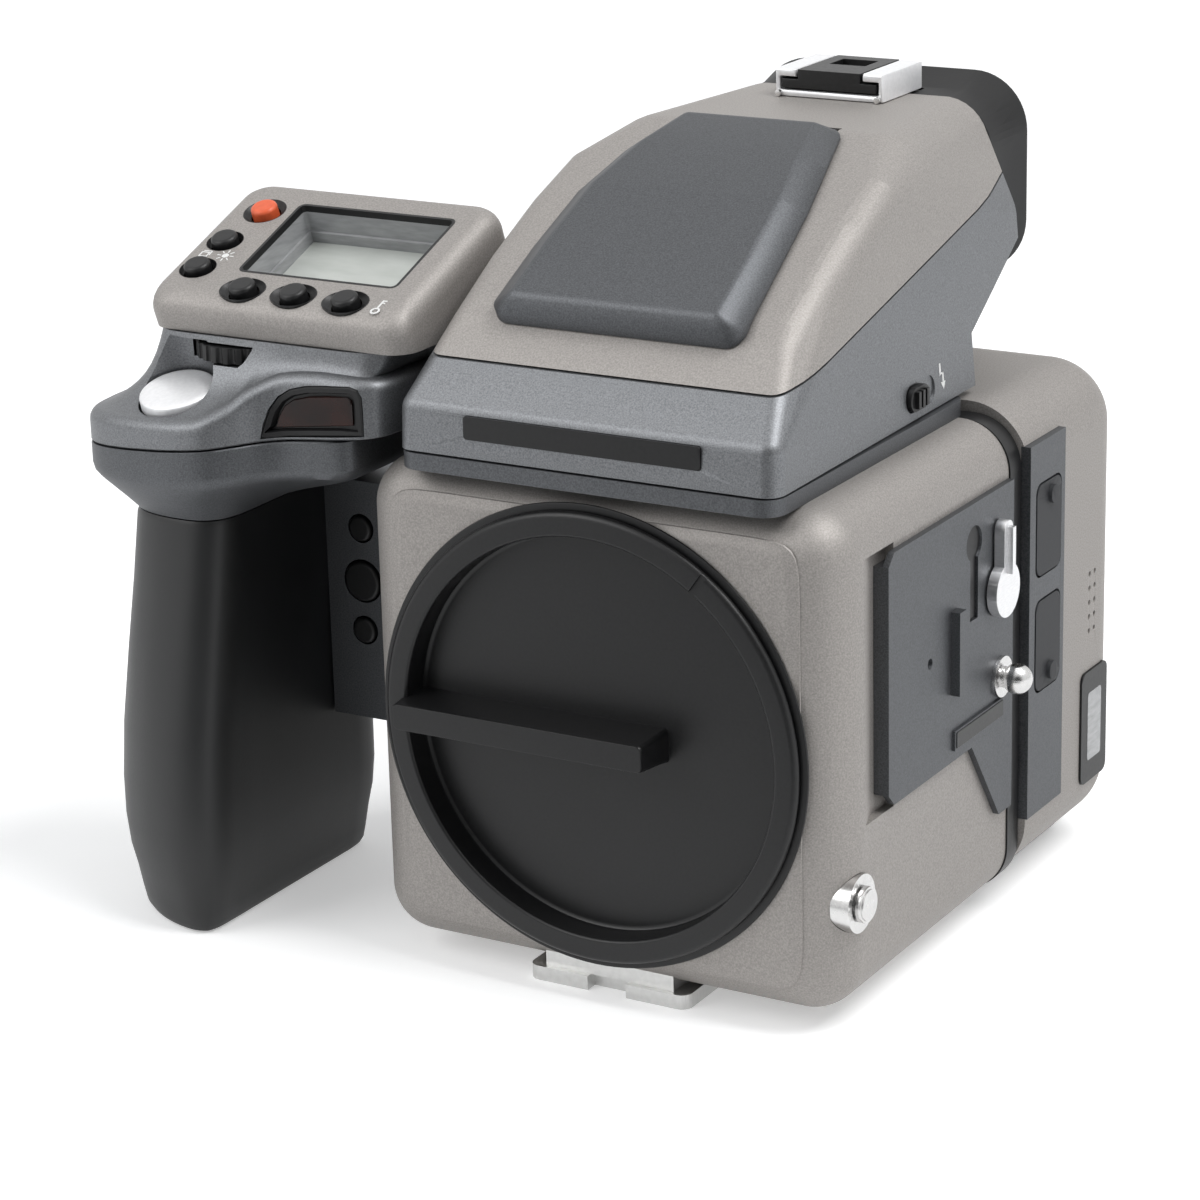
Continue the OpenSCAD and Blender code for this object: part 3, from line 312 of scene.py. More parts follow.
def inset(loop, by):
    """The loop drawn in towards its own middle by a distance."""
    moved = []
    for i, p in enumerate(loop):
        along = loop[(i + 1) % len(loop)] - loop[i - 1]
        moved.append(p + Vector((-along.y, along.x)).normalized() * by)
    return moved


def rounded_plate(w, h, r, per=6):
    """A centred rectangle with round corners, as points."""
    spots = []
    for sx, sy, start in ((1, 1, 0), (-1, 1, 90), (-1, -1, 180), (1, -1, 270)):
        for k in range(per + 1):
            a = math.radians(start + 90 * k / per)
            spots.append(Vector((sx * (w / 2 - r) + r * math.cos(a),
                                 sy * (h / 2 - r) + r * math.sin(a))))
    return spots


def side_cover(name, outline, finish, body, low, high, edge):
    """A thin plate with a broken edge on the lever side, from one distance out to another."""
    loops = ((low, outline), (high - edge, outline), (high, inset(outline, edge)))
    rings = [[(out, p.x, p.y) for p in loop] for out, loop in loops]
    fit(skin_over(name, rings, finish), body)


LABEL_MIDDLE, LABEL_LENGTH, LABEL_HEIGHT = Vector((15.2, 39.1)), 18.2, 2.8
label_black = moulded_black("label_black", (0.004, 0.004, 0.0042), roughness=0.28)
label = [p + LABEL_MIDDLE for p in rounded_plate(LABEL_LENGTH, LABEL_HEIGHT, 0.3)]
side_cover("side_label", label, label_black, "camera_body",
           low=45.0, high=45.25, edge=0.08)

HOLE_Y, HOLE_Z, HOLE_RADIUS = 13.7, 70.5, 2.9
SLOT_HALF, SLOT_FOOT, SLOT_HEAD = 1.4, 57.6, 67.9
keyhole = [Vector((HOLE_Y + side * SLOT_HALF, z))
           for side, z in ((-1, SLOT_FOOT), (1, SLOT_FOOT), (1, SLOT_HEAD))]
for turn in range(-60, 241, 15):
    a = math.radians(turn)
    keyhole.append(Vector((HOLE_Y + HOLE_RADIUS * math.cos(a), HOLE_Z + HOLE_RADIUS * math.sin(a))))
keyhole.append(Vector((HOLE_Y - SLOT_HALF, SLOT_HEAD)))
side_cover("keyhole_floor", keyhole, satin_black, "camera_body",
           low=43.9, high=44.15, edge=0.05)


# Foot plate: a steel coupling plate under the casting, milled along its length and screwed on from
# below, with the tripod thread tapped in it.
milled_steel = plated("milled_steel", (0.66, 0.66, 0.65), roughness=0.28, stretch=(1, 8, 1))
dress(milled_steel, "foot_plate")


# Finder: a charcoal base frame and a dark grey lower housing with a warm grey cover over them, all
# light alloy castings. The housing carries a black nameplate at the front.
dark_grey = grained_lacquer("dark_grey_lacquer", (0.185, 0.191, 0.2), spread=0.3, metallic=0.88,
                            roughness=0.4, scale=4000)
dress(charcoal, "finder_base", edge=CAST_EDGE)
dress(dark_grey, "finder_housing", edge=CAST_EDGE)
dress(warm_grey, "finder_cover", edge=CAST_EDGE)
dress(satin_black, "front_nameplate", edge=FINE_EDGE)


# Pop-up flash: a charcoal lid that swings on pins at its rear, with a reflector of bright foil under
# its front edge. A small black moulded catch in the housing's side holds it down.
foil = plated("reflector_foil", (0.85, 0.86, 0.87), roughness=0.08, stretch=(6, 1, 1))
dress(charcoal, "flash_lid", edge=0, limit=SOFT_CREASE)
dress(foil, "flash_reflector", edge=FINE_EDGE)
dress(satin_black, "flash_switch", edge=FINE_EDGE)


# Accessory shoe: satin silver steel rails held to the roof by two small screws. A black moulded cover
# slides into them and closes the slot.
satin_silver = two_toned("satin_silver", 1500, (0.82, 0.82, 0.83), (0.88, 0.88, 0.89),
                         roughness=0.3, spread=0.12, relief=(0.01, 0.1), metallic=0.35)
dress(satin_silver, "accessory_shoe", edge=CAST_EDGE)
dress(satin_chrome, "fasteners", edge=FINE_EDGE)
dress(satin_black, "shoe_cover", edge=FINE_EDGE)


# Eyecup and dioptre knob: one soft rubber moulding pushed over the eyepiece tube, and a small black
# moulded knob that turns on the housing's side.
def soft_rubber(name, tone, roughness, sheen):
    """Rubber with a fine grain and a faint cloudiness."""
    skin = Finish(name)
    grain = skin.noise(1900, 3.0)
    cloud = skin.noise(45, 2.0)
    colour = skin.tones(cloud, (0.3, [c * 0.85 for c in tone]), (0.7, [c * 1.15 for c in tone]))
    return skin.surface(grain, 0.03, 0.25, base_color=colour, specular_ior_level=sheen,
                        roughness=cloud * 0.1 + grain * 0.06 + roughness)


black_rubber = soft_rubber("black_rubber", (0.006, 0.006, 0.0065), roughness=0.45, sheen=0.3)
dress(black_rubber, "eyecup", edge=1.2)
dress(satin_black, "diopter_knob", edge=FINE_EDGE)


# Battery grip: a hollow moulding with a soft rubber skin over it, fuller at its foot and clipped to
# the bridge. The cells inside are wrapped in blue film.
def smooth_loop(points, per):
    """A closed curve through plan points, with the same number of steps between each two."""
    loop = []
    count = len(points)
    for i in range(count):
        a, b, c, d = (Vector(points[(i + k) % count]) for k in (-1, 0, 1, 2))
        for k in range(per):
            t = k / per
            loop.append(0.5 * (2 * b + (c - a) * t + (2 * a - 5 * b + 4 * c - d) * t * t
                               + (3 * b - a - 3 * c + d) * t ** 3))
    return loop


neck_plan = [(-84, 7), (-88.6, 4.4), (-90.4, -5), (-90.6, -16), (-90.5, -25), (-89.3, -31.4),
             (-86.4, -34.8), (-82, -36.5), (-77.5, -37), (-73.4, -36.6), (-70.5, -34.6), (-69.2, -31),
             (-69, -26), (-69, -22), (-69, -18), (-69, -14), (-69, -10), (-69, -6), (-69, -2), (-69, 1),
             (-69.3, 3.6), (-71, 6), (-74.5, 7), (-79, 7.2)]
swell_plan = [(-88, 10.6), (-95, 7.2), (-98, -2), (-98.4, -14), (-98, -24), (-95.8, -32), (-91.4, -37.8),
              (-86, -41.6), (-80.5, -43.8), (-75.4, -44.5), (-71.4, -43), (-69.6, -39.4), (-69.3, -34),
              (-69.3, -28), (-69.3, -22), (-69.3, -16), (-69.3, -11), (-69.3, -6), (-69.3, -1),
              (-69.4, 3.4), (-70.2, 7.4), (-73, 10.2), (-78, 11), (-83, 11.1)]
# height, share of the way from the neck to the swell, and draw-in at the rounded ends
grip_levels = ((0, 1, 6.0), (0.05, 1, 4.6), (0.5, 1, 3.4), (1.6, 1, 2.7), (4, 1, 2.2), (8, 1, 1.5),
               (12, 1, 0.6), (17, 1, 0.1), (24, 0.98, 0), (34, 0.86, 0), (46, 0.6, 0), (60, 0.27, 0),
               (71.6, 0.03, 0), (72.5, 0, 0.2))
neck, swell = smooth_loop(neck_plan, 4), smooth_loop(swell_plan, 4)
rings = []
for z, share, draw in grip_levels:
    level = inset([a.lerp(b, share) for a, b in zip(neck, swell)], draw)
    rings.append([(p.x, p.y, z) for p in level])
grip_rubber = soft_rubber("grip_rubber", (0.006, 0.0065, 0.007), roughness=0.38, sheen=0.5)
fit(skin_over("grip_skin", rings, grip_rubber), "camera_body", "battery_grip")
blue_film = two_toned("shrink_film", 60, (0.02, 0.05, 0.12), (0.03, 0.07, 0.16), roughness=0.3)
dress(blue_film, "battery_cells")


# Grip collar and top shell: two castings, charcoal and dark grey, that meet at a rising seam. The
# collar flares out of the rubber, and the shell sweeps from its nose up to the display housing.
SEAM_X, SEAM_Z, SEAM_SLOPE = -92, 84.5, math.tan(math.radians(5.7))
COLLAR_FOOT, SEAM_GAP, SEAM_EDGE = 72.8, 0.3, 0.25


def seam_height(x):
    """The seam's height at a place across the grip."""
    return SEAM_Z + SEAM_SLOPE * (x - SEAM_X)


collar_rim = [(-89, 5.8), (-94, 2.6), (-96.4, -8), (-97, -20), (-97, -29), (-95.6, -35), (-91.6, -39),
              (-85.6, -41.4), (-79, -42.6), (-73, -43), (-67.6, -42.2), (-63.6, -39.3), (-60.4, -36.2),
              (-56.8, -34.5), (-51.5, -34.1), (-47.5, -33.7), (-45, -32.4), (-44.2, -29), (-44.1, -20),
              (-44.1, -8), (-44.4, -1), (-46.8, 1.4), (-57, 3), (-72, 4.8)]
# share of the way from the neck to the rim, and from the foot to the seam
flare = ((0, 0.0), (0.04, 0.03), (0.34, 0.2), (0.66, 0.38), (0.86, 0.5), (0.96, 0.58), (1, 0.68),
         (1, 0.985), (0.985, 1))
rim = smooth_loop(collar_rim, 4)
rings = []
for share, rise in flare:
    level = [a.lerp(b, share) for a, b in zip(neck, rim)]
    rings.append([(p.x, p.y, COLLAR_FOOT + (seam_height(p.x) - SEAM_GAP - COLLAR_FOOT) * rise)
                  for p in level])
fit(skin_over("collar_casting", rings, charcoal), "camera_body", "grip_collar")

SHOULDER, SHOULDER_ROLL, SHOULDER_SINK, DECK_Z = 2.2, 0.98, 0.04, 103.1
shell_rim = collar_rim[:15] + [(-46.5, -33.9), (-41.6, -33), (-38.8, -29.6), (-38.1, -20), (-38.1, -8),
                               (-38.7, -0.6), (-42, 2.8), (-55, 3.4), (-72, 4.6)]
deck_rim = [(-79, 3.3), (-83.4, 1.4), (-85, -6), (-85, -16), (-85, -24), (-84.4, -28), (-82, -30.2),
            (-78, -30.8), (-74, -30.8), (-70, -30.8), (-66.4, -30.8), (-63.2, -30.8), (-60, -30.8),
            (-56.5, -30.8), (-51, -30.8), (-46, -30.6), (-42, -29.8), (-39.4, -27.4), (-38.4, -19),
            (-38.4, -8), (-39.2, -0.8), (-42.5, 2.6), (-55, 3.2), (-68, 3.3)]
crown_heights = [91.0, 91.0, 90.6, 90.2, 90.0, 90.0, 90.2, 90.6, 91.0, 91.4, 92.2, 94.2, 97.0, 98.9,
                 99.6, 99.6, 99.4, 99.4, 99.4, 99.4, 99.0, 98.4, 96.6, 93.4]
wall, deck = smooth_loop(shell_rim, 6), smooth_loop(deck_rim, 6)
crown = [p.x for p in smooth_loop([(height, 0) for height in crown_heights], 6)]
rings = [[(p.x, p.y, seam_height(p.x)) for p in inset(wall, SEAM_EDGE)],
         [(p.x, p.y, seam_height(p.x) + SEAM_EDGE) for p in wall]]
for part in (0.35, 0.7):
    rings.append([(p.x, p.y, seam_height(p.x) + (top - SHOULDER - seam_height(p.x)) * part)
                  for p, top in zip(wall, crown)])
for turn in range(0, 91, 18):
    bend = math.radians(turn)
    rise = SHOULDER * math.sin(bend) * SHOULDER_ROLL
    rings.append([(p.x, p.y, top - SHOULDER + rise)
                  for p, top in zip(inset(wall, SHOULDER * (1 - math.cos(bend))), crown)])
shoulder = inset(wall, SHOULDER)
for part in (0.1, 0.2, 0.32, 0.44, 0.56, 0.68, 0.78, 0.87, 0.94, 0.98, 1.0):
    climb = 0.34 * part + 0.26 * part ** 2 + 0.4 * part ** 6
    level = [a.lerp(b, part) for a, b in zip(shoulder, deck)]
    rings.append([(p.x, p.y, top - SHOULDER_SINK + (DECK_Z - top) * climb)
                  for p, top in zip(level, crown)])
shell = skin_over("top_shell_casting", rings, dark_grey)


def carve(piece, *cutters):
    """Takes the cutters' shapes out of a piece and removes the cutters."""
    for cutter in cutters:
        cut = piece.modifiers.new("cut", "BOOLEAN")
        cut.object, cut.operation, cut.solver = cutter, "DIFFERENCE", "EXACT"
    shaped = piece.evaluated_get(bpy.context.evaluated_depsgraph_get())
    mesh = bpy.data.meshes.new_from_object(shaped)
    piece.modifiers.clear()
    piece.data = mesh
    for cutter in cutters:
        bpy.data.objects.remove(cutter)


def turned(name, profile, finish, origin, axes, steps=40):
    """A lathe-turned mesh: (radius, height) steps in millimetres about an axis through origin."""
    right, up, out = (Vector(axis) for axis in axes)
    turns = [math.tau * k / steps for k in range(steps)]
    rings = [[Vector(origin) + right * radius * math.cos(a) + up * radius * math.sin(a) + out * height
              for a in turns] for radius, height in profile]
    return skin_over(name, rings, finish)


RELEASE_SEAT, RELEASE_TILT = (-77.7, -34.5, 94.9), math.radians(17)
RELEASE_AXES = ((1, 0, 0), (0, math.cos(RELEASE_TILT), math.sin(RELEASE_TILT)),
                (0, -math.sin(RELEASE_TILT), math.cos(RELEASE_TILT)))
UPRIGHT = ((1, 0, 0), (0, 1, 0), (0, 0, 1))
release_well = [(6.95, -4), (6.95, 6)]
wheel_slot = [(9.5, 98.6), (9.5, 102.0)]
cutters = [turned("release_well", release_well, dark_grey, RELEASE_SEAT, RELEASE_AXES)]
for axle in ((-70, -23.6, 0), (-59.5, -4.3, 0)):
    cutters.append(turned("wheel_slot", wheel_slot, dark_grey, axle, UPRIGHT))
LAMP_CLEARANCE = 0.12
lamp_arch = [(-60.1, 88.3), (-59.6, 90.6), (-58.7, 93.2), (-57.2, 95.3), (-55, 96.7), (-52, 97.5),
             (-48, 97.9), (-43.9, 98.1), (-42.5, 97.7), (-41.9, 96.5), (-41.8, 94), (-41.8, 90.1),
             (-46, 89.7), (-51, 89.2), (-56, 88.7)]
lamp_loop = [Vector(p) for p in reversed(lamp_arch)]
lamp_hole = [[(p.x, y, p.y) for p in inset(lamp_loop, -LAMP_CLEARANCE)] for y in (-40, -27)]
cutters.append(skin_over("lamp_hole", lamp_hole, dark_grey))
carve(shell, *cutters)
fit(shell, "camera_body", "grip_shell")


# Shutter release, control wheels and the lamp window in the shell: a satin silver cap, ribbed black
# wheels on axles, and a smoked window in a black frame.
release_dome = [(6.5, -2.6), (6.5, -1.1), (6.38, -0.75), (6.05, -0.5), (5.4, -0.38), (4, -0.3),
                (2, -0.26), (0.4, -0.25)]
release = turned("release_cap", release_dome, satin_silver, RELEASE_SEAT, RELEASE_AXES, 64)
fit(release, "shutter_button", "shutter_button")
dress(satin_black, "front_wheel", "rear_wheel", edge=FINE_EDGE)

brow = [(-62, -36.9), (-60.4, -36.1), (-58.6, -35.1), (-56.8, -34.5), (-51.5, -34.1), (-46.5, -33.9),
        (-41, -33.3)]
PANE_X, PANE_Y, PANE_SLOPE = -43, -33.4, 0.06


def on_brow(p, out):
    """A place of the lamp window, as far in front of the shell's curved brow as told."""
    for (xa, ya), (xb, yb) in zip(brow, brow[1:]):
        if p.x <= xb:
            return (p.x, ya + (yb - ya) * (p.x - xa) / (xb - xa) - out, p.y)


def on_pane(p, out):
    """A place in front of the lamp window's flat pane."""
    return (p.x, PANE_Y + PANE_SLOPE * (p.x - PANE_X) - out, p.y)


rings = [[on_brow(p, out) for p in inset(lamp_loop, draw)]
         for out, draw in ((-4, 0.0), (-0.25, 0.0), (0.0, 0.25), (0.0, 1.0))]
rings.append([on_pane(p, -0.5) for p in inset(lamp_loop, 1.3)])
fit(skin_over("lamp_frame", rings, satin_black), "camera_body", "af_frame")
smoked = two_toned("smoked_window", 140, (0.004, 0.002, 0.002), (0.03, 0.007, 0.004),
                   roughness=0.03, spread=0.05, stops=(0.35, 0.7), specular_ior_level=0.3)
pane_arch = [(-58.0, 90.0), (-57.4, 92.0), (-56.3, 93.8), (-54.6, 95.0), (-51.5, 95.8), (-47.8, 96.2),
             (-44.5, 96.3), (-43.8, 95.9), (-43.6, 95.2), (-43.6, 91.7), (-47, 91.3), (-52, 90.7)]
pane_loop = [Vector(p) for p in reversed(pane_arch)]
rings = [[on_pane(p, out) for p in inset(pane_loop, draw)]
         for out, draw in ((-0.9, 0), (-0.15, 0), (0, 0.15))]
fit(skin_over("lamp_pane", rings, smoked), "camera_body", "af_window")


# Grip bridge: a charcoal casting screwed between the body and the grip. Three round black keys of
# moulded plastic sit one above the other in its front.
dress(charcoal, "grip_bridge", edge=0.6)
dress(satin_black, "mirror_up_button", "lens_release_button", "stop_down_button", edge=0.1)


# Display housing: a warm grey casting screwed on top of the grip and tilted to the eye, with a deep
# window and a dished seat for each key. A black moulded cup lines each seat.
DISPLAY_X, DISPLAY_Y, DISPLAY_Z, DISPLAY_TILT = -60.6, -0.7, 121.1, math.radians(21)
HOUSING_WIDTH, HOUSING_DEPTH, HOUSING_CORNER = 50.8, 37, 4.2
HOUSING_MIDDLE, HOUSING_FOOT = -15.5, 103.2
SIDE_ROLL, FRONT_ROLL, REAR_ROLL = 3.0, 4.6, 2.8


def on_display(u, v, z):
    """A place on the tilted housing: across, towards the rear and out of its face."""
    return Vector((DISPLAY_X + u,
                   DISPLAY_Y + v * math.cos(DISPLAY_TILT) - z * math.sin(DISPLAY_TILT),
                   DISPLAY_Z + v * math.sin(DISPLAY_TILT) + z * math.cos(DISPLAY_TILT)))


def to_deck(v):
    """The height, from the housing's face, at which its wall meets the grip."""
    return (HOUSING_FOOT - DISPLAY_Z - v * math.sin(DISPLAY_TILT)) / math.cos(DISPLAY_TILT)


# height of each level of the rounded edge, after the foot, and its share of the roll
edge_roll = ((None, 0), (-3.6, 0), (-2.7, 0.04), (-1.9, 0.12), (-1.25, 0.24), (-0.7, 0.4),
             (-0.3, 0.6), (-0.08, 0.8), (0, 1.0))
rings = []
for z, share in edge_roll:
    ring = []
    for p in rounded_plate(HOUSING_WIDTH, HOUSING_DEPTH, HOUSING_CORNER, 8):
        roll = FRONT_ROLL if p.y < 0 else REAR_ROLL
        u = p.x * (1 - share * SIDE_ROLL / (HOUSING_WIDTH / 2))
        v = HOUSING_MIDDLE + p.y * (1 - share * roll / (HOUSING_DEPTH / 2))
        ring.append(on_display(u, v, to_deck(v) if z is None else z))
    rings.append(ring)
housing = skin_over("display_casting", rings, warm_grey)

WINDOW_U, WINDOW_V, WINDOW_FLOOR = 4, -13.8, -7.6
KEY_BORE, SEAT_POINTS, SEAT_START = 2.62, 44, 0.3
window = rounded_plate(31, 20.6, 1.2)


def in_window(draw, z):
    """The window's outline on the housing, drawn in and set to a depth."""
    return [on_display(WINDOW_U + p.x, WINDOW_V + p.y, z) for p in inset(window, draw)]


def key_seat(name, spot, steps, finish, capped):
    """An oval dish about a key: (share of the way from the key's bore to the rim, height) steps."""
    u, v, wide, tall = spot
    turns = [math.tau * (k + SEAT_START) / SEAT_POINTS for k in range(SEAT_POINTS)]
    rings = []
    for share, z in steps:
        a, b = KEY_BORE + (wide - KEY_BORE) * share, KEY_BORE + (tall - KEY_BORE) * share
        rings.append([on_display(u + a * math.cos(t), v + b * math.sin(t), z) for t in turns])
    return skin_over(name, rings, finish, capped, capped)


# place of each key, and the half width and half height of its seat
key_spots = [(-17.1, -6.6, 3.8, 3.6), (-19.1, -16.3, 3.3, 3.0), (-19.3, -24.6, 3.3, 3.0),
             (-7.4, -29, 4.2, 3.2), (2.7, -29, 4.2, 3.2), (13, -29.2, 4.2, 3.2)]
seat_steps = ((0, -3.4), (0, -0.9), (0.3, -0.75), (0.7, -0.4), (1, 0.01), (1.01, 2))
cup_steps = ((0, -1.7), (0, -0.84), (0.3, -0.69), (0.7, -0.34), (0.98, 0.03), (1.06, 0.03),
             (1.06, -0.3), (0.5, -1.3), (0, -1.7))
cutters = [skin_over("window_cut", [in_window(0, WINDOW_FLOOR), in_window(-0.01, 3)], warm_grey)]
cutters += [key_seat("seat_cut", spot, seat_steps, warm_grey, True) for spot in key_spots]
carve(housing, *cutters)
fit(housing, "camera_body", "lcd_housing")
for k, spot in enumerate(key_spots):
    cup = key_seat(f"key_cup_{k + 1}", spot, cup_steps, satin_black, False)
    fit(cup, "camera_body")


# Status display: a pale panel at the foot of the well, with grey moulded walls and a black gasket at
# the rim. White pictograms are printed beside the keys and the flash catch.
wall_grey = two_toned("grey_moulding", 240, (0.26, 0.265, 0.27), (0.34, 0.345, 0.35),
                      roughness=0.16, spread=0.1, stretch=(1, 1, 5), coat_weight=0.5)
pale_film = two_toned("pale_display", 160, (0.47, 0.49, 0.46), (0.52, 0.54, 0.51),
                      roughness=0.2, spread=0.1, stretch=(1, 3, 3), coat_weight=0.4)
# draw-in and depth of each piece's section, from its outer foot round
gasket_section = ((0.02, -1.1), (-0.2, 0.03), (0.3, 0.03), (0.45, -1.1), (0.02, -1.1))
lining_section = ((0.02, -7.4), (0.02, -1.1), (0.45, -1.1), (0.75, -4.6), (1.2, -4.7), (1.3, -7.4),
                  (0.02, -7.4))
panel_section = ((0.03, -7.5), (0.03, -6.7), (0.08, -6.6))
gasket = skin_over("window_gasket", [in_window(*step) for step in gasket_section], satin_black,
                   False, False)
lining = skin_over("window_lining", [in_window(*step) for step in lining_section], wall_grey,
                   False, False)
display = skin_over("display_panel", [in_window(*step) for step in panel_section], pale_film)
fit(gasket, "camera_body")
fit(lining, "camera_body")
fit(display, "camera_body", "lcd_panel")

white_ink = two_toned("white_ink", 4000, (0.72, 0.72, 0.71), (0.82, 0.82, 0.81),
                      roughness=0.45, spread=0.1)
INK_FOOT, INK_FACE = -0.05, 0.06


def printed(name, shapes, place):
    """White ink in thin flat shapes; place turns (x, y, height) into millimetres."""
    spots, faces = [], []
    for shape in shapes:
        start, count = len(spots), len(shape)
        for height in (INK_FOOT, INK_FACE):
            spots += [Vector(place(x, y, height)) / 1000 for x, y in shape]
        faces.append(tuple(start + count + i for i in range(count)))
        faces.append(tuple(start + i for i in reversed(range(count))))
        for i in range(count):
            j = (i + 1) % count
            faces.append((start + i, start + j, start + count + j, start + count + i))
    piece = drawn(name, spots, faces, white_ink)
    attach(piece, "camera_body")


def beside_key(u, v):
    """Turns a sign's own places into places about a spot of the housing."""
    return lambda x, y, height: on_display(u + x, v + y, height)


def ring_shapes(x, y, outer, inner, steps=20):
    """A flat ring as short four-sided pieces."""
    turns = [(math.cos(math.tau * k / steps), math.sin(math.tau * k / steps)) for k in range(steps + 1)]
    return [[(x + inner * a, y + inner * b), (x + outer * a, y + outer * b),
             (x + outer * c, y + outer * d), (x + inner * c, y + inner * d)]
            for (a, b), (c, d) in zip(turns, turns[1:])]


def bar(x, y, w, h, turn=0.0):
    """A small rectangle about a place, turned in its plane."""
    c, k = math.cos(turn), math.sin(turn)
    return [(x + c * a * w / 2 - k * b * h / 2, y + k * a * w / 2 + c * b * h / 2)
            for a, b in ((-1, -1), (1, -1), (1, 1), (-1, 1))]


lamp_shapes = ring_shapes(0, 0, 0.62, 0.02)
for k in range(8):
    a = math.tau * k / 8
    lamp_shapes.append(bar(1.25 * math.cos(a), 1.25 * math.sin(a), 0.75, 0.22, a))
printed("lamp_sign", lamp_shapes, beside_key(-16.4, -20.4))
frame_shapes = [bar(0, 0.6, 1.7, 0.25), bar(0, -0.6, 1.7, 0.25), bar(0.72, 0, 0.25, 1.0),
                bar(-0.72, 0, 0.25, 1.0), bar(0.3, 1.0, 1.7, 0.2), bar(1.05, 0.45, 0.2, 1.2)]
printed("drive_sign", frame_shapes, beside_key(-20.6, -20.6))
key_shapes = ring_shapes(0, -0.9, 0.85, 0.5)
key_shapes += [bar(0, 1.0, 0.32, 2.2), bar(0.4, 1.95, 0.6, 0.28), bar(0.35, 1.35, 0.5, 0.28)]
printed("lock_sign", key_shapes, beside_key(19.6, -29.8))

FLASH_SIGN_Y, FLASH_SIGN_Z = 25.8, 94.3
bolt_shapes = [[(-0.75, 2.2), (-0.2, 2.2), (-0.2, 0.45), (-0.75, 0.15)],
               [(-0.75, 0.6), (-0.2, 0.35), (0.8, 0.35), (0.8, 0.6)],
               [(0.25, 0.6), (0.25, -1.1), (0.8, -1.1), (0.8, 0.6)],
               [(-0.35, -1.0), (0.5, -2.3), (1.35, -1.0)]]
_, flank, facing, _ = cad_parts["finder_housing"].ray_cast(
    (0.06, FLASH_SIGN_Y / 1000, FLASH_SIGN_Z / 1000), (-1, 0, 0))


def beside_catch(x, y, height):
    """A place on the sloping flank of the finder housing, beside the flash catch."""
    out = flank.x * 1000 + height - facing.z / facing.x * y - facing.y / facing.x * x
    return (out, FLASH_SIGN_Y + x, FLASH_SIGN_Z + y)


printed("flash_sign", bolt_shapes, beside_catch)


# Display keys: five black keys and a red one of moulded plastic. Each is guided by the cup that it
# stands in.
dress(satin_black, "light_button", "menu_button", "iso_button", "focus_button", "flash_button", edge=0)
red_moulding = two_toned("red_moulding", 800, (0.68, 0.10, 0.03), (0.78, 0.13, 0.045),
                         roughness=0.34, spread=0.12, relief=(0.02, 0.2))
dress(red_moulding, "on_off_button", edge=0)


# Sensor unit: a warm grey box that slides off behind the body, on a black foot. Its side has a strip
# of connectors under rubber flaps and a window, and its rear has a screen and three keys.
dress(warm_grey, "unit_shell")
dress(satin_black, "unit_base", "rear_pad", "rear_key_left", "rear_key_right", edge=FINE_EDGE)
dress(charcoal, "connector_panel")
flap_rubber = soft_rubber("flap_rubber", (0.026, 0.027, 0.03), roughness=0.5, sheen=0.3)
dress(flap_rubber, "port_cover_upper", "port_cover_lower")
dress(satin_black, "side_window")
INLAY_MIDDLE, INLAY_WIDTH, INLAY_HEIGHT = Vector((62.6, 23.9)), 5.8, 12.6
inlay = [p + INLAY_MIDDLE for p in rounded_plate(INLAY_WIDTH, INLAY_HEIGHT, 0.6)]
side_cover("side_pane", inlay, wall_grey, "sensor_unit", low=45.3, high=45.48, edge=0.06)
dark_screen = two_toned("rear_screen", 70, (0.008, 0.009, 0.011), (0.014, 0.015, 0.018),
                        roughness=0.05, spread=0.06, coat_weight=0.6)
dress(dark_screen, "rear_display", "image_sensor", edge=FINE_EDGE)
solder_mask = two_toned("solder_mask", 300, (0.01, 0.06, 0.02), (0.02, 0.11, 0.04), roughness=0.4,
                        stretch=(1, 1, 4), relief=(0.03, 0.3), stops=(0.4, 0.6), detail=3.0)
dress(solder_mask, "sensor_board", edge=0)


# Body cap: one black moulding with a dished face, a round-edged rim with an index notch, and a tapered
# bar to turn it by that stands proud of the rim.
CAP_AXES = ((1, 0, 0), (0, 0, 1), (0, -1, 0))
CAP_REAR, CAP_FLOOR, CAP_FACE = 30.8, 31.2, 36.2
RIM_MIDDLE, RIM_FOOT, RIM_ROUND = 36.75, 35.2, 1.05
cap_black = moulded_black("cap_moulding", (0.007, 0.007, 0.0075), roughness=0.32, scale=1800)
cap_steps = [(0.4, CAP_REAR), (35.0, CAP_REAR), (35.1, 34.85), (37.5, 34.9), (37.8, 35.1)]
for turn in range(0, 91, 15):
    a = math.radians(turn)
    cap_steps.append((RIM_MIDDLE + RIM_ROUND * math.cos(a), RIM_FOOT + math.sin(a)))
cap_steps += [(34.25, CAP_FACE), (34.0, 36.13), (33.8, 35.95), (33.7, 35.7), (33.6, 31.9), (33.48, 31.5),
              (33.2, 31.27), (32.8, CAP_FLOOR), (0.4, CAP_FLOOR)]
cap = turned("cap_disc", cap_steps, cap_black, (0, 0, LENS_AXIS_Z), CAP_AXES, 120)
NOTCH_TURN, NOTCH_HALF, NOTCH_START, NOTCH_END = 0.948, 0.55, 33, 39
along = Vector((math.cos(NOTCH_TURN), 0, math.sin(NOTCH_TURN)))
across = Vector((-math.sin(NOTCH_TURN), 0, math.cos(NOTCH_TURN)))
notch_plan = ((NOTCH_START, -NOTCH_HALF), (NOTCH_END, -NOTCH_HALF), (NOTCH_END, NOTCH_HALF),
              (NOTCH_START, NOTCH_HALF))
notch = [[Vector((0, y, LENS_AXIS_Z)) + along * r + across * w for r, w in notch_plan]
         for y in (-37, -35.8)]
carve(cap, skin_over("notch_cut", notch, cap_black))
fit(cap, "body_cap", "body_cap")

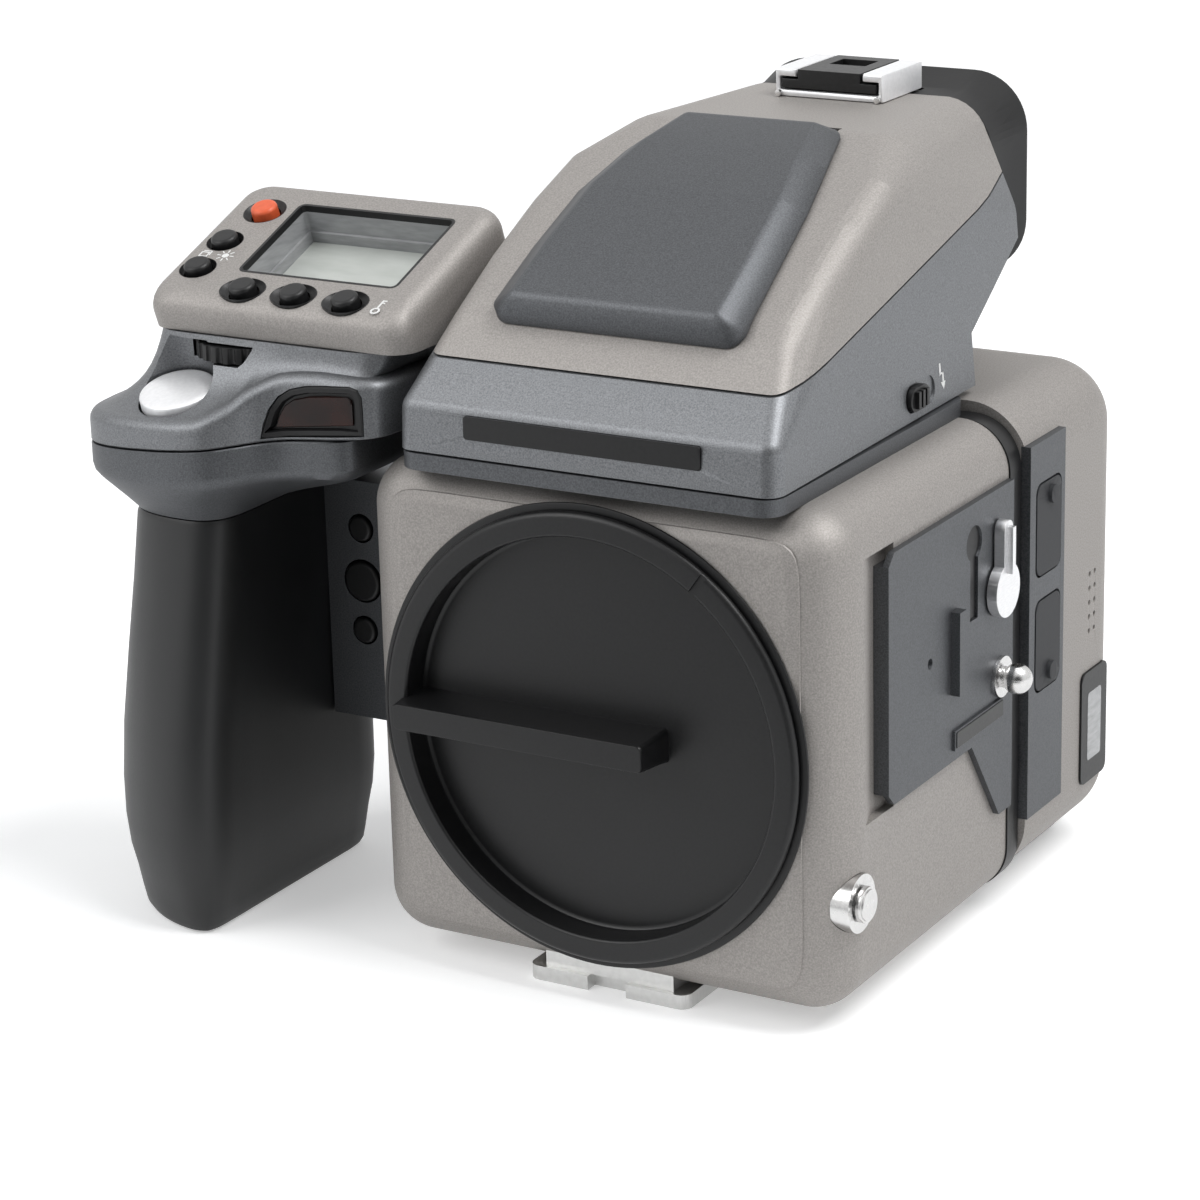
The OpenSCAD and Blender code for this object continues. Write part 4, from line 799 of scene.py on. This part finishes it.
BAR_X, BAR_Z, BAR_LENGTH, BAR_HEIGHT = -11.4, 45.2, 46.6, 4.6
# distance out and growth of each level of the bar, from its foot in the dish
bar_levels = ((30.9, 1.5), (31.2, 1.3), (31.5, 1.05), (38.3, 0.0), (38.7, -0.12), (38.92, -0.32),
              (39.0, -0.6))
rings = [[(BAR_X + p.x, -out, BAR_Z + p.y)
          for p in rounded_plate(BAR_LENGTH + grow, BAR_HEIGHT + grow, 0.8)] for out, grow in bar_levels]
fit(skin_over("cap_bar", rings, cap_black), "body_cap")


# Stage: a plain pale sheet for a floor in a bright room, with three soft boxes, and the camera where
# the photograph was taken. A grey patch of the sheet and a dark part of the room are painted
# reflections, painted shade that glossy surfaces alone see.
def ray_kind(finish, *kinds):
    """One for rays of the named kinds, such as those straight from the eye, and nought for the rest."""
    kind = finish.node("ShaderNodeLightPath", {}, {}, kinds[0])
    outputs = kind.socket.node.outputs
    for name in kinds[1:]:
        kind = kind.maths("MAXIMUM", kind, Shade(finish, outputs[name]))
    return kind


def fade(finish, middle, near, far):
    """Fades from one to nought around a place on the floor or a direction in the room."""
    away = finish.node("ShaderNodeVectorMath", {"operation": "DISTANCE"},
                       {0: finish.place, 1: middle}, "Value")
    sockets = {"Value": away, "From Min": near, "From Max": far, "To Min": 1.0, "To Max": 0.0}
    return finish.node("ShaderNodeMapRange", {"interpolation_type": "SMOOTHSTEP"}, sockets)


SEEN_RAYS = ("Is Camera Ray", "Is Glossy Ray", "Is Transmission Ray")
BLACK, WHITE, SHADE_GREY = (0, 0, 0, 1), (1, 1, 1, 1), (0.02, 0.02, 0.02, 1)
FLOOR_HALF, FLOOR_GLOW, LIT_SHARE = 6, 0.7, 0.46
paper = Finish("pale_floor")
sheet = paper.tones(paper.noise(40), (0.3, (0.88, 0.88, 0.88)), (0.7, (0.91, 0.91, 0.91)))
# Painted dark reflection: near the front the sheet turns shade grey and stops glowing, for glossy rays
# alone.
painted_dark_reflection = fade(paper, (0.1, -0.42, 0), near=0.17, far=0.38) * ray_kind(paper, "Is Glossy Ray")
lit = fade(paper, (0, 0, 0), near=0.4, far=1.7)
glow = ray_kind(paper, *SEEN_RAYS) * (1 - painted_dark_reflection) * (1 - lit * LIT_SHARE)
pale_sheet = paper.surface(base_color=paper.mixed(painted_dark_reflection, sheet, SHADE_GREY), roughness=0.9,
                           emission_color=paper.mixed(glow, BLACK, WHITE), emission_strength=FLOOR_GLOW)
corners = [(x * FLOOR_HALF, y * FLOOR_HALF, 0) for x, y in ((-1, -1), (1, -1), (1, 1), (-1, 1))]
floor = drawn("floor", corners, [(0, 1, 2, 3)], pale_sheet)

studio = Finish("studio", "worlds", "Generated")
bpy.context.scene.world = studio.material


def even_light(colour, strength):
    """The same light from every side of the room."""
    return studio.node("ShaderNodeBackground", {}, {"Color": colour, "Strength": strength})


ambient = even_light((0.94, 0.97, 1.0, 1), strength=0.36)
bright, dark = even_light(WHITE, strength=1.0), even_light(WHITE, strength=0.06)
# Painted dark reflection: glossy surfaces alone see the dark light in a zone of the room towards the
# front; it lights nothing.
painted_dark_room = fade(studio, (0.45, -0.88, 0.12), near=0.35, far=0.8) * ray_kind(studio, "Is Glossy Ray")
backdrop = studio.node("ShaderNodeMixShader", {}, {0: painted_dark_room, 1: bright, 2: dark})
seen = ray_kind(studio, *SEEN_RAYS)
room = studio.node("ShaderNodeMixShader", {}, {0: seen, 1: ambient, 2: backdrop})
studio.node("ShaderNodeOutputWorld", {}, {"Surface": room})


def soft_box(name, place, aim, size, power):
    """A square lamp that faces a place."""
    lamp = bpy.data.lights.new(name, "AREA")
    lamp.shape, lamp.size, lamp.size_y = "RECTANGLE", size, size
    lamp.energy = power
    holder = bpy.data.objects.new(name, lamp)
    bpy.context.scene.collection.objects.link(holder)
    holder.location = place
    holder.rotation_euler = (Vector(aim) - Vector(place)).to_track_quat("-Z", "Y").to_euler()


soft_box("overhead_box", (-0.1, 0.1, 1.2), aim=(0, 0, 0.05), size=1.3, power=0.9)
soft_box("left_box", (-0.7, -0.85, 0.9), aim=(0, 0, 0.08), size=0.8, power=6.5)
soft_box("right_box", (0.62, 0.02, 1.1), aim=(0, 0, 0.08), size=0.6, power=10.5)

EYE_PLACE, EYE_LENS, FILM_WIDTH = (0.28719, -0.51446, 0.25095), 112.3, 36
EYE_TURN, EYE_LIFT, EYE_ROLL = math.radians(30.672), math.radians(18.049), math.radians(-1.513)
back = Vector((math.sin(EYE_TURN) * math.cos(EYE_LIFT), -math.cos(EYE_TURN) * math.cos(EYE_LIFT),
               math.sin(EYE_LIFT)))
sideways = (-back).cross(Vector((0, 0, 1))).normalized()
upward = sideways.cross(-back)
right = math.cos(EYE_ROLL) * sideways + math.sin(EYE_ROLL) * upward
up = -math.sin(EYE_ROLL) * sideways + math.cos(EYE_ROLL) * upward
eye = bpy.data.cameras.new("photo_camera")
eye.lens, eye.sensor_width = EYE_LENS, FILM_WIDTH
holder = bpy.data.objects.new("photo_camera", eye)
bpy.context.scene.collection.objects.link(holder)
pose = [[right[i], up[i], back[i], EYE_PLACE[i]] for i in range(3)] + [[0, 0, 0, 1]]
holder.matrix_world = Matrix(pose)
bpy.context.scene.camera = holder
bpy.context.scene.view_settings.view_transform = "Standard"
